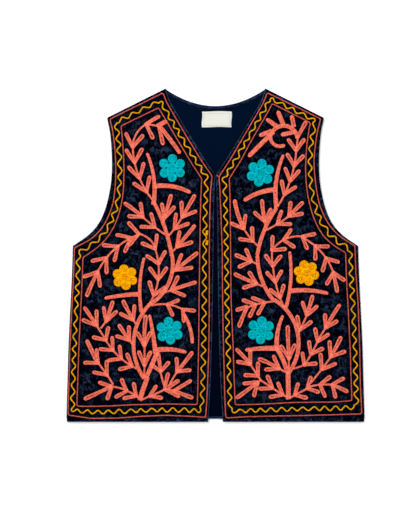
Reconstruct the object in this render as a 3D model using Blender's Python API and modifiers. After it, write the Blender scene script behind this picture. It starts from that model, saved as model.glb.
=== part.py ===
# Embroidered open-front folk vest, laid flat on its back with its fronts on top.
# Lengths in the tables are millimetres, angles are degrees, and the scene is in metres, +Z up.
# "across" is measured from the centre line towards a side seam, "up" from the middle of the length.
import math
from collections import namedtuple

import bmesh
import bpy
from mathutils import Vector
from mathutils.bvhtree import BVHTree
from mathutils.geometry import delaunay_2d_cdt

MM = 0.001

# Driving sizes of the garment
LENGTH = 611.6
SHOULDER_WIDTH = 398.2
SHOULDER_DROP = 53.7
NECK_WIDTH = 183.2
BACK_NECK_DEPTH = 31.0
FRONT_NECK_DEPTH = 157.8
ARMHOLE_DROP = 288.0
CHEST_WIDTH = 523.2
HEM_WIDTH = 546.4
HEM_GAP = 27.6
BACK_HEM_RISE = 5.7
CORNER_ROUND = 3.5

TOP = LENGTH / 2
BOTTOM = -LENGTH / 2

# Heights of the layers above the surface that the vest lies on, and the gaps between pieces
SEAM_GAP = 0.3
FRONT_MEETING_GAP = 0.4
BACK_THICKNESS = 1.2
LINING_THICKNESS = 1.0
TURNING_THICKNESS = 0.8
FRONT_THICKNESS = 2.0
LABEL_THICKNESS = 0.6
LINING_BASE = BACK_THICKNESS + SEAM_GAP
LINING_TOP = LINING_BASE + LINING_THICKNESS
FRONT_BASE = LINING_TOP + SEAM_GAP

# How the fronts lie: their edges down at the seams, a soft fullness between them
SEAM_RISE_WIDTH = 6.5
FULLNESS = 2.2
FULLNESS_WIDTH = 70.0
LIFT_OVER_LINING = 0.5
CALM_WIDTH = 30.0
HEM_DROOP = 0.8
RIM_BEVEL = 0.6

# Where the back's lining and turned edges stop
LINING_INSET = 7.5
NECK_TURNING_WIDTH = 5.6
HEM_TURNING_WIDTH = 4.6

# Label sewn to the lining below the back neck
LABEL_WIDTH = 54.0
LABEL_HEIGHT = 29.0
LABEL_ACROSS = 2.4
LABEL_UP = 250.4

# Raised embroidery
STITCH_GAP = 0.3
STITCH_THICKNESS = 1.1
TWIG_WIDTH = 4.8
FINGER_WIDTH = 8.2
PETAL_COUNT = 6
PETAL_RADIUS = 9.0
PETAL_SIDES = 10
CENTRE_RADIUS = 10.5
CENTRE_SIDES = 8
STATION = 14.0
LEAST_STATIONS = 2
TWIG_STEPS = 6
ROUND_END_STEPS = 3
WELD = 0.05

# The kind of result of Blender's 2D triangulation that leaves out what lies around the outlines
INSIDE_THE_OUTLINES = 1

Section = namedtuple("Section", "inner_across inner_up outer_across outer_up")
Band = namedtuple("Band", "across up heading turn length root_width tip_width")
Chain = namedtuple("Chain", "across up heading turn length first pairs spread lean finger tip")
Flower = namedtuple("Flower", "name slot across up rotation ring")

# A front's cross lines, from the shoulder seam to the hem
FRONT_SECTIONS = (
    Section(NECK_WIDTH / 2, TOP, SHOULDER_WIDTH / 2, TOP - SHOULDER_DROP),
    Section(88.4, 296.6, 197.4, 243.5),
    Section(82.6, 282.0, 194.2, 228.0),
    Section(71.0, 262.0, 191.6, 203.3),
    Section(54.5, 234.0, 190.3, 176.0),
    Section(37.5, 206.0, 190.8, 148.0),
    Section(20.0, 177.6, 194.4, 118.5),
    Section(FRONT_MEETING_GAP / 2, TOP - FRONT_NECK_DEPTH, 202.0, 87.0),
    Section(1.8, 122.0, 214.3, 59.5),
    Section(2.7, 90.0, 233.3, 37.7),
    Section(3.4, 50.0, CHEST_WIDTH / 2, TOP - ARMHOLE_DROP),
    Section(4.1, -10.0, 263.4, -40.0),
    Section(5.0, -80.0, 266.4, -100.0),
    Section(6.4, -150.0, 269.4, -163.0),
    Section(8.6, -220.0, 271.2, -226.0),
    Section(11.0, -270.0, 272.7, -276.0),
    Section(13.0, -297.5, HEM_WIDTH / 2, -297.5),
    Section(HEM_GAP / 2, BOTTOM, HEM_WIDTH / 2, BOTTOM),
)
NECK_CORNER_ROW = 7
UNDERARM_ROW = 10

# Places of a front's lengthwise lines: distances in from its two edges, and shares of what is between
EDGE_COLUMNS = (0.0, 8.0)
MIDDLE_COLUMNS = 9
EDGE_STEPS = 2
NECK_STEPS = 6

# Soft puckers of the fronts: across, up, width and height
Pucker = namedtuple("Pucker", "across up width height")
PUCKERS = (
    Pucker(60.0, -250.0, 90.0, 0.5),
    Pucker(200.0, -190.0, 100.0, -0.4),
    Pucker(120.0, -60.0, 110.0, 0.4),
    Pucker(215.0, -20.0, 80.0, 0.5),
    Pucker(50.0, 60.0, 90.0, -0.4),
    Pucker(140.0, 180.0, 90.0, 0.4),
)

# Stems, flower brackets and other bands of the embroidery
LEFT_BANDS = (
    Band(139.0, -266.0, 105.0, 8.0, 46.0, 9.5, 9.0),
    Band(131.0, -226.0, 55.0, 78.0, 147.0, 7.4, 7.4),
    Band(128.0, -226.0, 114.0, 0.0, 52.0, 8.0, 9.5),
    Band(124.0, -92.0, 151.5, -73.0, 111.2, 7.6, 7.6),
    Band(80.3, -1.0, 81.0, -19.0, 106.5, 7.6, 7.4),
    Band(114.0, 93.0, 99.0, -32.0, 97.0, 9.0, 5.6),
    Band(113.0, 127.0, 171.5, 37.0, 70.0, 9.5, 7.4),
    Band(136.0, -104.0, 80.5, 25.0, 101.0, 7.4, 5.6),
    Band(141.0, -71.0, -2.0, -10.0, 63.0, 9.0, 6.4),
    Band(110.0, -180.0, 84.0, -6.0, 72.0, 9.6, 5.6),
    Band(110.0, -174.0, 170.0, 28.0, 57.0, 10.4, 6.6),
    Band(103.0, 238.0, 230.5, 5.0, 64.0, 8.0, 7.6),
    Band(107.0, 238.0, 153.0, 0.0, 20.0, 8.2, 8.8),
    Band(59.5, -106.0, -124.0, 34.0, 58.0, 6.8, 7.0),
    Band(215.5, -199.0, 64.0, 0.0, 49.0, 8.2, 8.2),
    Band(88.0, -243.0, 146.0, 0.0, 26.0, 8.2, 8.2),
)
LEFT_CHAINS = (
    Chain(114.0, 100.0, 50.0, 38.0, 108.0, 21.0, 4, 34.0, 8.0, 29.0, 0.0),
    Chain(152.0, 199.0, 90.0, 62.0, 52.0, 51.0, 1, 47.0, 42.0, 29.0, 0.0),
    Chain(130.0, 241.0, 184.0, 8.0, 26.0, 25.0, 0, 0.0, 63.0, 0.0, 34.0),
    Chain(92.0, 38.0, 34.0, 8.0, 53.0, 24.0, 2, 40.0, 0.0, 26.5, 42.0),
    Chain(95.5, 61.0, 105.0, 0.0, 10.0, 9.0, 1, 29.0, 0.0, 27.0, 42.0),
    Chain(87.0, 35.0, 132.0, -12.0, 44.0, 18.0, 2, 34.0, 1.0, 28.5, 46.0),
    Chain(78.0, 8.0, 132.0, 0.0, 12.0, 10.0, 1, 33.0, 0.0, 29.5, 50.0),
    Chain(81.0, -33.0, 141.0, 0.0, 12.0, 10.0, 1, 34.0, 0.0, 31.0, 49.0),
    Chain(97.0, -69.0, 161.0, 0.0, 18.0, 17.0, 1, 42.0, 0.0, 28.0, 46.5),
    Chain(124.0, -93.0, 124.0, -54.0, 110.0, 23.0, 4, 38.0, -7.0, 27.0, 0.0),
    Chain(110.0, 12.0, 72.0, -62.0, 45.0, 43.0, 1, 49.0, -14.0, 28.0, 0.0),
    Chain(140.0, 38.7, -20.0, -44.0, 105.0, 16.0, 4, 40.0, 2.0, 28.0, 49.0),
    Chain(118.0, -92.0, 165.0, 44.0, 60.0, 30.0, 2, 40.0, 15.0, 23.0, 0.0),
    Chain(131.0, -226.0, 92.0, -3.0, 60.0, 24.0, 2, 23.0, -1.0, 28.0, 55.5),
    Chain(145.5, -127.0, 57.0, 0.0, 12.0, 11.0, 1, 37.0, 3.0, 27.0, 38.0),
    Chain(151.0, -165.0, 53.0, 0.0, 13.0, 11.0, 1, 33.0, 0.0, 26.0, 33.0),
    Chain(144.0, -208.0, 25.0, 35.0, 79.0, 11.0, 4, 43.0, -3.0, 24.5, 0.0),
    Chain(201.3, -155.5, 58.0, 0.0, 33.0, 32.0, 1, 35.0, -3.0, 28.0, 39.0),
    Chain(211.0, -134.0, 128.0, 0.0, 18.0, 16.0, 1, 29.0, -21.0, 27.0, 37.0),
    Chain(138.0, -265.0, 48.0, -30.0, 30.0, 10.0, 2, 46.0, -2.0, 24.0, 0.0),
    Chain(160.5, -248.0, 20.0, -12.0, 32.0, 31.0, 1, 42.0, -35.0, 25.0, 54.0),
    Chain(188.0, -237.0, 60.0, -10.0, 48.0, 21.0, 2, 38.0, -8.0, 26.0, 0.0),
    Chain(139.0, -266.0, 160.0, -6.0, 20.0, 20.0, 1, 34.0, 0.0, 23.0, 0.0),
    Chain(120.5, -259.0, 156.0, -4.0, 32.0, 31.0, 1, 54.0, 1.0, 30.0, 0.0),
    Chain(92.0, -245.0, 190.0, 0.0, 18.0, 17.0, 1, 28.0, -12.0, 36.0, 0.0),
    Chain(92.0, -245.0, 68.0, 14.0, 36.0, 33.0, 1, 46.0, 4.0, 23.0, 32.0),
    Chain(86.0, -240.0, 118.0, 4.0, 32.0, 30.0, 1, 38.0, 9.0, 25.5, 44.0),
)
RIGHT_BANDS = (
    Band(134.0, -264.0, 91.0, 0.0, 52.0, 9.4, 9.0),
    Band(134.0, -216.0, 53.0, 98.0, 158.0, 7.6, 7.4),
    Band(132.5, -217.0, 104.0, 18.0, 52.0, 7.6, 9.5),
    Band(107.0, -83.0, 129.5, -40.0, 92.0, 7.6, 7.4),
    Band(76.9, 1.0, 81.0, -27.0, 95.5, 7.4, 7.2),
    Band(112.0, 88.0, 98.5, -32.0, 99.0, 9.0, 6.0),
    Band(112.0, 121.0, 182.0, 34.0, 64.5, 9.4, 7.6),
    Band(128.5, -98.0, 73.0, 26.0, 106.0, 7.2, 5.8),
    Band(138.0, -65.0, 7.0, -22.0, 69.0, 9.2, 6.6),
    Band(113.0, -172.0, 96.0, -32.0, 64.0, 9.6, 5.8),
    Band(115.0, -170.5, 178.0, 10.0, 60.0, 10.2, 6.8),
    Band(106.0, 227.0, -135.0, 0.0, 64.0, 8.6, 8.4),
    Band(103.0, 225.0, -118.0, 150.0, 44.0, 6.8, 6.8),
    Band(125.0, 239.0, 112.0, 0.0, 28.0, 8.2, 8.8),
    Band(114.0, 236.0, 144.0, 0.0, 25.0, 8.2, 8.4),
    Band(103.0, 229.0, 202.0, 0.0, 24.0, 8.2, 8.4),
    Band(53.0, 48.0, 119.0, -22.0, 58.0, 7.4, 8.2),
    Band(150.5, 215.5, 96.0, 140.0, 62.0, 7.6, 7.8),
    Band(144.0, 236.0, 101.0, 0.0, 22.0, 8.2, 8.2),
    Band(148.0, 227.5, 192.6, 0.0, 28.0, 8.2, 8.4),
    Band(60.0, -94.0, 196.0, 0.0, 24.0, 8.2, 8.2),
)
RIGHT_CHAINS = (
    Chain(114.0, 90.0, 57.0, 29.0, 109.0, 25.0, 4, 33.0, 6.0, 26.0, 0.0),
    Chain(148.3, 192.1, 84.0, 0.0, 26.0, 25.0, 0, 0.0, -23.0, 0.0, 31.0),
    Chain(92.0, 51.0, 98.0, 0.0, 13.0, 11.0, 1, 40.0, 3.0, 26.0, 38.0),
    Chain(78.0, 17.0, 138.0, -18.0, 42.0, 13.0, 2, 39.0, 1.0, 25.5, 0.0),
    Chain(77.0, -16.0, 156.0, 0.0, 14.0, 12.0, 1, 46.0, 1.0, 25.0, 30.0),
    Chain(87.0, -57.0, 157.0, 0.0, 14.0, 12.0, 1, 37.0, 2.0, 26.0, 43.0),
    Chain(125.3, -94.0, 115.0, -20.0, 77.5, 18.0, 3, 34.0, -5.0, 24.5, 0.0),
    Chain(104.8, -22.0, 96.0, -8.0, 33.0, 32.0, 1, 40.0, -44.0, 26.0, 0.0),
    Chain(106.0, 12.0, 54.0, -62.0, 61.0, 26.0, 2, 42.0, -20.0, 24.5, 0.0),
    Chain(159.5, 32.8, -26.0, -45.0, 88.0, 28.0, 3, 42.0, -7.0, 25.0, 36.0),
    Chain(89.5, 45.0, 24.0, 14.0, 53.0, 27.0, 2, 37.0, 7.0, 26.0, 36.0),
    Chain(108.0, -84.0, 185.5, 9.5, 35.0, 18.0, 2, 43.0, 7.0, 25.0, 0.0),
    Chain(73.7, -90.6, 195.0, 4.0, 17.0, 16.0, 0, 0.0, 46.0, 0.0, 38.0),
    Chain(134.0, -216.0, 88.0, 0.0, 28.0, 26.0, 1, 25.0, 6.0, 28.0, 58.0),
    Chain(152.0, -143.0, 63.0, 4.0, 37.0, 8.0, 2, 35.0, 5.0, 26.0, 37.0),
    Chain(143.5, -208.0, 16.0, 10.0, 22.0, 21.0, 1, 43.0, 27.0, 23.0, 0.0),
    Chain(164.0, -200.5, 58.0, 6.0, 49.0, 22.5, 2, 37.0, 4.0, 24.5, 0.0),
    Chain(187.0, -157.0, 58.0, 0.0, 30.0, 29.0, 1, 33.0, 3.0, 25.0, 48.0),
    Chain(128.0, -214.0, 150.0, 0.0, 14.0, 12.0, 1, 34.0, 0.0, 26.0, 40.0),
    Chain(134.0, -262.0, 150.0, -4.0, 35.0, 12.0, 2, 38.0, 2.0, 24.5, 0.0),
    Chain(105.0, -243.5, 147.0, 0.0, 27.0, 26.0, 0, 0.0, 0.0, 0.0, 0.0),
    Chain(83.0, -229.0, 124.0, -2.0, 35.0, 9.0, 2, 40.0, 8.0, 25.0, 38.0),
    Chain(83.0, -229.0, 215.0, 0.0, 8.0, 7.0, 1, 34.0, 3.0, 27.0, 47.0),
    Chain(135.0, -262.0, 28.0, 0.0, 38.0, 12.0, 2, 46.0, 3.0, 22.5, 0.0),
    Chain(168.0, -242.0, 16.0, -20.0, 47.0, 24.0, 2, 54.0, -18.0, 24.5, 31.0),
    Chain(170.0, -239.0, 48.0, 8.0, 67.0, 38.0, 2, 36.0, 3.0, 29.0, 41.0),
)
LEFT_FLOWERS = (
    Flower("upper", "turquoise_wool", 79.7, 160.4, 90.0, 17.0),
    Flower("middle", "yellow_wool", 166.3, -40.0, 83.0, 15.0),
    Flower("lower", "turquoise_wool", 84.5, -138.4, 84.5, 16.8),
)
RIGHT_FLOWERS = (
    Flower("upper", "turquoise_wool", 82.3, 151.8, 81.0, 17.0),
    Flower("middle", "yellow_wool", 167.0, -32.4, 108.0, 15.2),
    Flower("lower", "turquoise_wool", 83.5, -137.3, 86.0, 17.0),
)

# Colours as a screen shows them, roughness and sheen of each material
Finish = namedtuple("Finish", "red green blue roughness sheen")
FINISHES = {
    "navy_velvet": Finish(16, 24, 38, 0.85, 0.6),
    "navy_cotton": Finish(5, 18, 38, 0.9, 0.1),
    "velvet_turning": Finish(14, 26, 46, 0.85, 0.5),
    "label_cloth": Finish(238, 238, 230, 0.8, 0.1),
    "coral_wool": Finish(240, 112, 92, 0.8, 0.2),
    "turquoise_wool": Finish(4, 168, 178, 0.8, 0.2),
    "yellow_wool": Finish(246, 160, 6, 0.8, 0.2),
}


# Scene, collections and materials


def clear_scene():
    """Removes what the scene holds."""
    for thing in list(bpy.data.objects):
        bpy.data.objects.remove(thing, do_unlink=True)


def new_collection(name):
    """A new collection in the scene."""
    collection = bpy.data.collections.new(name)
    bpy.context.scene.collection.children.link(collection)
    return collection


def linear(value):
    """A screen colour value of 0 to 255 as a linear one."""
    share = value / 255.0
    return share / 12.92 if share <= 0.04045 else ((share + 0.055) / 1.055) ** 2.4


def new_material(name, finish):
    """A cloth or yarn material."""
    material = bpy.data.materials.new(name)
    material.use_nodes = True
    shader = material.node_tree.nodes["Principled BSDF"]
    colour = (linear(finish.red), linear(finish.green), linear(finish.blue), 1.0)
    shader.inputs["Base Color"].default_value = colour
    shader.inputs["Roughness"].default_value = finish.roughness
    shader.inputs["Metallic"].default_value = 0.0
    shader.inputs["Sheen Weight"].default_value = finish.sheen
    return material


def add_mesh(form, name, slot):
    """Puts a finished bmesh into the scene as a named piece."""
    mesh = bpy.data.meshes.new(name)
    form.to_mesh(mesh)
    form.free()
    piece = bpy.data.objects.new(name, mesh)
    vest.objects.link(piece)
    mesh.materials.append(materials[slot])
    return piece


# Outlines


def smooth_point(before, start, end, after, share):
    """A point on a smooth curve through four points, between the middle two."""
    square = share * share
    cube = square * share
    return 0.5 * (
        2.0 * start
        + (end - before) * share
        + (2.0 * before - 5.0 * start + 4.0 * end - after) * square
        + (3.0 * start - before - 3.0 * end + after) * cube
    )


def smooth_edge(points, corners, steps):
    """A smooth line through the points, with sharp corners at the given rows."""
    line = [points[0]]
    stops = [0] + list(corners) + [len(points) - 1]
    for first, last in zip(stops, stops[1:]):
        for row in range(first, last):
            start = points[row]
            end = points[row + 1]
            before = points[row - 1] if row > first else start * 2.0 - end
            after = points[row + 2] if row + 1 < last else end * 2.0 - start
            for step in range(1, steps + 1):
                line.append(smooth_point(before, start, end, after, step / steps))
    return line


def inner_edge(steps):
    """The neck and centre-front edge of a front, from the shoulder to the hem."""
    points = [Vector((row.inner_across, row.inner_up)) for row in FRONT_SECTIONS]
    return smooth_edge(points, (NECK_CORNER_ROW,), steps)


def outer_edge(steps):
    """The armhole and side edge of a front, from the shoulder to the hem."""
    points = [Vector((row.outer_across, row.outer_up)) for row in FRONT_SECTIONS]
    return smooth_edge(points, (UNDERARM_ROW,), steps)


def back_neck(count):
    """Half of the back neck curve, from the centre to the shoulder."""
    half = NECK_WIDTH / 2
    lowest = TOP - BACK_NECK_DEPTH
    shares = [step / count for step in range(count + 1)]
    return [Vector((half * share, lowest + BACK_NECK_DEPTH * share * share)) for share in shares]


def back_outline():
    """The whole outline of the back, running once round, with the side that each line belongs to."""
    half = [(point, "neck") for point in back_neck(NECK_STEPS)]
    half[-1] = (half[-1][0], "shoulder")
    hem = BOTTOM + BACK_HEM_RISE
    for point in outer_edge(EDGE_STEPS):
        if point.y > hem + CORNER_ROUND:
            half.append((point, "side"))
    half.append((Vector((HEM_WIDTH / 2, hem + CORNER_ROUND)), "side"))
    half.append((Vector((HEM_WIDTH / 2 - CORNER_ROUND, hem)), "hem"))
    mirrored = []
    for (point, side), (after, after_side) in zip(half[:0:-1], half[-2::-1]):
        mirrored.append((Vector((-point.x, point.y)), after_side))
    return half + mirrored


def inset(outline, widths):
    """The outline moved inwards, by a width for each of its sides."""
    moved = []
    count = len(outline)
    for index in range(count):
        before = outline[index - 1]
        here = outline[index]
        after = outline[(index + 1) % count]
        along_in = (here[0] - before[0]).normalized()
        along_out = (after[0] - here[0]).normalized()
        normal_in = Vector((along_in.y, -along_in.x))
        normal_out = Vector((along_out.y, -along_out.x))
        width_in = widths[before[1]]
        width_out = widths[here[1]]
        cross = normal_in.x * normal_out.y - normal_in.y * normal_out.x
        if abs(cross) < 0.05:
            step = (normal_in + normal_out).normalized() * ((width_in + width_out) / 2)
        else:
            step = Vector((
                (width_in * normal_out.y - width_out * normal_in.y) / cross,
                (width_out * normal_in.x - width_in * normal_out.x) / cross,
            ))
        moved.append(here[0] + step)
    return moved


# Flat pieces: the back, its lining and turned edges, and the label


def flat_piece(name, slot, outline, base, thickness):
    """A flat wall with this outline, made from a filled curve."""
    curve = bpy.data.curves.new(name, "CURVE")
    curve.dimensions = "2D"
    curve.fill_mode = "BOTH"
    curve.extrude = thickness * MM / 2
    spline = curve.splines.new("POLY")
    spline.points.add(len(outline) - 1)
    for knot, point in zip(spline.points, outline):
        knot.co = (point.x * MM, point.y * MM, 0.0, 1.0)
    spline.use_cyclic_u = True
    source = bpy.data.objects.new(name + "_outline", curve)
    vest.objects.link(source)
    bpy.context.view_layer.update()
    solid = bpy.data.meshes.new_from_object(source.evaluated_get(bpy.context.evaluated_depsgraph_get()))
    bpy.data.objects.remove(source, do_unlink=True)
    form = bmesh.new()
    form.from_mesh(solid)
    bpy.data.meshes.remove(solid)
    bmesh.ops.remove_doubles(form, verts=form.verts, dist=0.01 * MM)
    bmesh.ops.translate(form, verts=form.verts, vec=(0.0, 0.0, (base + thickness / 2) * MM))
    bmesh.ops.recalc_face_normals(form, faces=form.faces)
    return add_mesh(form, name, slot)


def make_back():
    """The velvet back, its lining, and the velvet turned in at its neck and hem."""
    outline = back_outline()
    edge = [point for point, side in outline]
    flat_piece("back_panel", "navy_velvet", edge, 0.0, BACK_THICKNESS)
    widths = {
        "neck": NECK_TURNING_WIDTH + SEAM_GAP,
        "shoulder": LINING_INSET,
        "side": LINING_INSET,
        "hem": HEM_TURNING_WIDTH + SEAM_GAP,
    }
    flat_piece("back_lining", "navy_cotton", inset(outline, widths), LINING_BASE, LINING_THICKNESS)
    widths["neck"] = NECK_TURNING_WIDTH
    neck_line = inset(outline, widths)
    top = [point for point, side in outline if side == "neck"]
    count = len(top) // 2 + 1
    upper = [edge[index] for index in range(-count + 1, count)]
    lower = [neck_line[index] for index in range(-count + 1, count)]
    turning = upper + lower[::-1]
    flat_piece("back_neck_facing", "velvet_turning", turning, LINING_BASE, TURNING_THICKNESS)
    hem = BOTTOM + BACK_HEM_RISE
    reach = HEM_WIDTH / 2 - LINING_INSET
    strip = [
        Vector((-reach, hem)),
        Vector((-reach, hem + HEM_TURNING_WIDTH)),
        Vector((reach, hem + HEM_TURNING_WIDTH)),
        Vector((reach, hem)),
    ]
    flat_piece("back_hem_turning", "velvet_turning", strip, LINING_BASE, TURNING_THICKNESS)


def make_label():
    """The bare cloth label on the lining."""
    half_width = LABEL_WIDTH / 2
    half_height = LABEL_HEIGHT / 2
    outline = [
        Vector((LABEL_ACROSS - half_width, LABEL_UP - half_height)),
        Vector((LABEL_ACROSS - half_width, LABEL_UP + half_height)),
        Vector((LABEL_ACROSS + half_width, LABEL_UP + half_height)),
        Vector((LABEL_ACROSS + half_width, LABEL_UP - half_height)),
    ]
    flat_piece("label", "label_cloth", outline, FRONT_BASE, LABEL_THICKNESS)


# Fronts


def soft_step(share):
    """0 to 1, easing in and out."""
    share = min(max(share, 0.0), 1.0)
    return share * share * (3.0 - 2.0 * share)


def distance_to_line(point, line):
    """The shortest distance from a point to a line of points."""
    best = 1.0e9
    for start, end in zip(line, line[1:]):
        along = end - start
        share = (point - start).dot(along) / along.length_squared
        share = min(max(share, 0.0), 1.0)
        best = min(best, (point - start - along * share).length)
    return best


def front_height(point, seams, free_edges):
    """The height of a front's underside above the surface."""
    from_seam = distance_to_line(point, seams)
    from_free = distance_to_line(point, free_edges)
    height = LINING_BASE
    rise = FRONT_BASE + LIFT_OVER_LINING - LINING_BASE
    height += rise * min(from_seam / SEAM_RISE_WIDTH, 1.0)
    height += FULLNESS * soft_step(from_seam / FULLNESS_WIDTH) * soft_step(from_free / FULLNESS_WIDTH)
    calm = soft_step(from_seam / CALM_WIDTH) * soft_step(from_free / CALM_WIDTH)
    for pucker in PUCKERS:
        away = (point - Vector((pucker.across, pucker.up))).length / pucker.width
        height += pucker.height * calm * (1.0 - soft_step(away))
    below_back = BOTTOM + BACK_HEM_RISE - point.y
    if below_back > 0.0:
        height -= HEM_DROOP * below_back / BACK_HEM_RISE
    return height


def make_front(name, side):
    """A front: a soft wall through its cross lines, mirrored for the other side."""
    inner = inner_edge(EDGE_STEPS)
    outer = outer_edge(EDGE_STEPS)
    seams = [inner[0]] + outer
    free_edges = inner + [outer[-1]]
    middle = [step / (MIDDLE_COLUMNS + 1) for step in range(1, MIDDLE_COLUMNS + 1)]
    columns = 2 * len(EDGE_COLUMNS) + MIDDLE_COLUMNS
    form = bmesh.new()
    bmesh.ops.create_grid(form, x_segments=columns - 1, y_segments=len(inner) - 1, size=1.0)
    form.verts.ensure_lookup_table()
    for row, (start, end) in enumerate(zip(inner, outer)):
        width = (end - start).length
        along = (end - start) / width
        near = EDGE_COLUMNS[-1]
        places = list(EDGE_COLUMNS)
        places += [near + (width - 2.0 * near) * share for share in middle]
        places += [width - place for place in reversed(EDGE_COLUMNS)]
        for column, place in enumerate(places):
            point = start + along * place
            corner = row == len(inner) - 1 and column in (0, columns - 1)
            if corner:
                inwards = 1.0 if column == 0 else -1.0
                point = point + Vector((inwards * CORNER_ROUND / 2, CORNER_ROUND / 2))
            height = front_height(point, seams, free_edges)
            vert = form.verts[row * columns + column]
            vert.co = Vector((side * point.x, point.y, height)) * MM
    form.normal_update()
    form.faces.ensure_lookup_table()
    if form.faces[0].normal.z < 0.0:
        bmesh.ops.reverse_faces(form, faces=form.faces)
    piece = add_mesh(form, name, "navy_velvet")
    wall = piece.modifiers.new("Wall", "SOLIDIFY")
    wall.thickness = FRONT_THICKNESS * MM
    wall.offset = 1.0
    rim = piece.modifiers.new("Rim", "BEVEL")
    rim.width = RIM_BEVEL * MM
    rim.segments = 1
    rim.limit_method = "ANGLE"
    rim.angle_limit = math.radians(50.0)
    return piece


# Raised embroidery: flat outlines joined into one, then laid on the front


def arc_points(across, up, heading, turn, length, count):
    """Places and headings along a bent line."""
    place = Vector((across, up))
    angle = math.radians(heading)
    bend = math.radians(turn) / count
    points = [(place.copy(), angle)]
    for step in range(count):
        middle = angle + bend / 2
        place = place + Vector((math.cos(middle), math.sin(middle))) * (length / count)
        angle += bend
        points.append((place.copy(), angle))
    return points


def band_outline(points, root_width, tip_width):
    """The outline of a band along a line, with a round end."""
    left = []
    right = []
    last = len(points) - 1
    for index, (place, angle) in enumerate(points):
        half = (root_width + (tip_width - root_width) * index / last) / 2
        sideways = Vector((-math.sin(angle), math.cos(angle))) * half
        if index == last:
            place = place - Vector((math.cos(angle), math.sin(angle))) * half
        left.append(place + sideways)
        right.append(place - sideways)
    place, angle = points[-1]
    half = tip_width / 2
    centre = place - Vector((math.cos(angle), math.sin(angle))) * half
    cap = []
    for step in range(1, ROUND_END_STEPS):
        swing = angle - math.pi / 2 + math.pi * step / ROUND_END_STEPS
        cap.append(centre + Vector((math.cos(swing), math.sin(swing))) * half)
    return right + cap + left[::-1]


def finger_outline(place, angle, length):
    """One leaf finger of a sprig."""
    start = place - Vector((math.cos(angle), math.sin(angle))) * (TWIG_WIDTH / 2)
    end = place + Vector((math.cos(angle), math.sin(angle))) * length
    return band_outline([(start, angle), (end, angle)], FINGER_WIDTH, FINGER_WIDTH)


def band_shape(band):
    """The outline of a stem or of another band."""
    count = max(LEAST_STATIONS, round(band.length / STATION))
    points = arc_points(band.across, band.up, band.heading, band.turn, band.length, count)
    return band_outline(points, band.root_width, band.tip_width)


def chain_shapes(chain):
    """The outlines of a twig and of the fingers along it."""
    count = max(LEAST_STATIONS, round(chain.length / STATION))
    points = arc_points(chain.across, chain.up, chain.heading, chain.turn, chain.length, count)
    shapes = [band_outline(points, TWIG_WIDTH, TWIG_WIDTH)]
    gap = (chain.length - chain.first) / max(chain.pairs - 1, 1)
    spread = math.radians(chain.spread)
    lean = math.radians(chain.lean)
    for pair in range(chain.pairs):
        reach = chain.first + gap * pair
        bend = chain.turn * reach / chain.length
        place, angle = arc_points(chain.across, chain.up, chain.heading, bend, reach, TWIG_STEPS)[-1]
        shapes.append(finger_outline(place, angle + lean + spread, chain.finger))
        shapes.append(finger_outline(place, angle + lean - spread, chain.finger))
    if chain.tip:
        place, angle = points[-1]
        shapes.append(finger_outline(place, angle + lean, chain.tip))
    return shapes


def disc_outline(centre, radius, sides):
    """A round petal's outline."""
    swings = [2.0 * math.pi * side / sides for side in range(sides)]
    return [centre + Vector((math.cos(swing), math.sin(swing))) * radius for swing in swings]


def flower_shapes(flower):
    """The outlines of a flower's petals and centre."""
    centre = Vector((flower.across, flower.up))
    shapes = [disc_outline(centre, CENTRE_RADIUS, CENTRE_SIDES)]
    for petal in range(PETAL_COUNT):
        swing = math.radians(flower.rotation + 360.0 * petal / PETAL_COUNT)
        place = centre + Vector((math.cos(swing), math.sin(swing))) * flower.ring
        shapes.append(disc_outline(place, PETAL_RADIUS, PETAL_SIDES))
    return shapes


def boundary(triangles):
    """The edges that only one triangle has."""
    uses = {}
    for triangle in triangles:
        for start, end in zip(triangle, triangle[1:] + triangle[:1]):
            edge = (min(start, end), max(start, end))
            uses[edge] = uses.get(edge, 0) + 1
    return [edge for edge, count in uses.items() if count == 1]


def joined_shape(shapes):
    """All these outlines joined into one flat shape of triangles, with the gaps between them left open."""
    corners = []
    rings = []
    for shape in shapes:
        rings.append(list(range(len(corners), len(corners) + len(shape))))
        corners += shape
    filled = delaunay_2d_cdt(corners, [], rings, INSIDE_THE_OUTLINES, WELD)
    covered = [triangle for triangle, owners in zip(filled[2], filled[5]) if owners]
    cover = BVHTree.FromPolygons([place.to_3d() for place in filled[0]], covered)
    edges = boundary(covered)
    used = sorted({number for edge in edges for number in edge})
    places = [filled[0][number] for number in used]
    lines = [(used.index(start), used.index(end)) for start, end in edges]
    joined = delaunay_2d_cdt(places, lines, [], INSIDE_THE_OUTLINES, WELD)
    form = bmesh.new()
    verts = [form.verts.new(place.to_3d()) for place in joined[0]]
    up = Vector((0.0, 0.0, 1.0))
    for triangle in joined[2]:
        middle = sum((verts[number].co for number in triangle), Vector()) / 3.0
        if cover.ray_cast(middle + up, -up)[0]:
            form.faces.new([verts[number] for number in triangle])
    loose = [vert for vert in form.verts if not vert.link_faces]
    bmesh.ops.delete(form, geom=loose, context="VERTS")
    form.normal_update()
    return form


def lay_on_front(name, slot, shapes, front_tree, side):
    """A raised piece of embroidery: the joined shape, laid a hair above its front and thickened."""
    form = joined_shape(shapes)
    down = Vector((0.0, 0.0, -1.0))
    for vert in form.verts:
        above = Vector((side * vert.co.x * MM, vert.co.y * MM, LENGTH * MM))
        hit = front_tree.ray_cast(above, down)[0]
        vert.co = Vector((above.x, above.y, hit.z + STITCH_GAP * MM))
    if side < 0.0:
        bmesh.ops.reverse_faces(form, faces=form.faces)
    piece = add_mesh(form, name, slot)
    wall = piece.modifiers.new("Wall", "SOLIDIFY")
    wall.thickness = STITCH_THICKNESS * MM
    wall.offset = 1.0
    return piece


def surface_tree(piece):
    """The evaluated surface of a piece, for finding heights on it."""
    bpy.context.view_layer.update()
    return BVHTree.FromObject(piece, bpy.context.evaluated_depsgraph_get())


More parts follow.
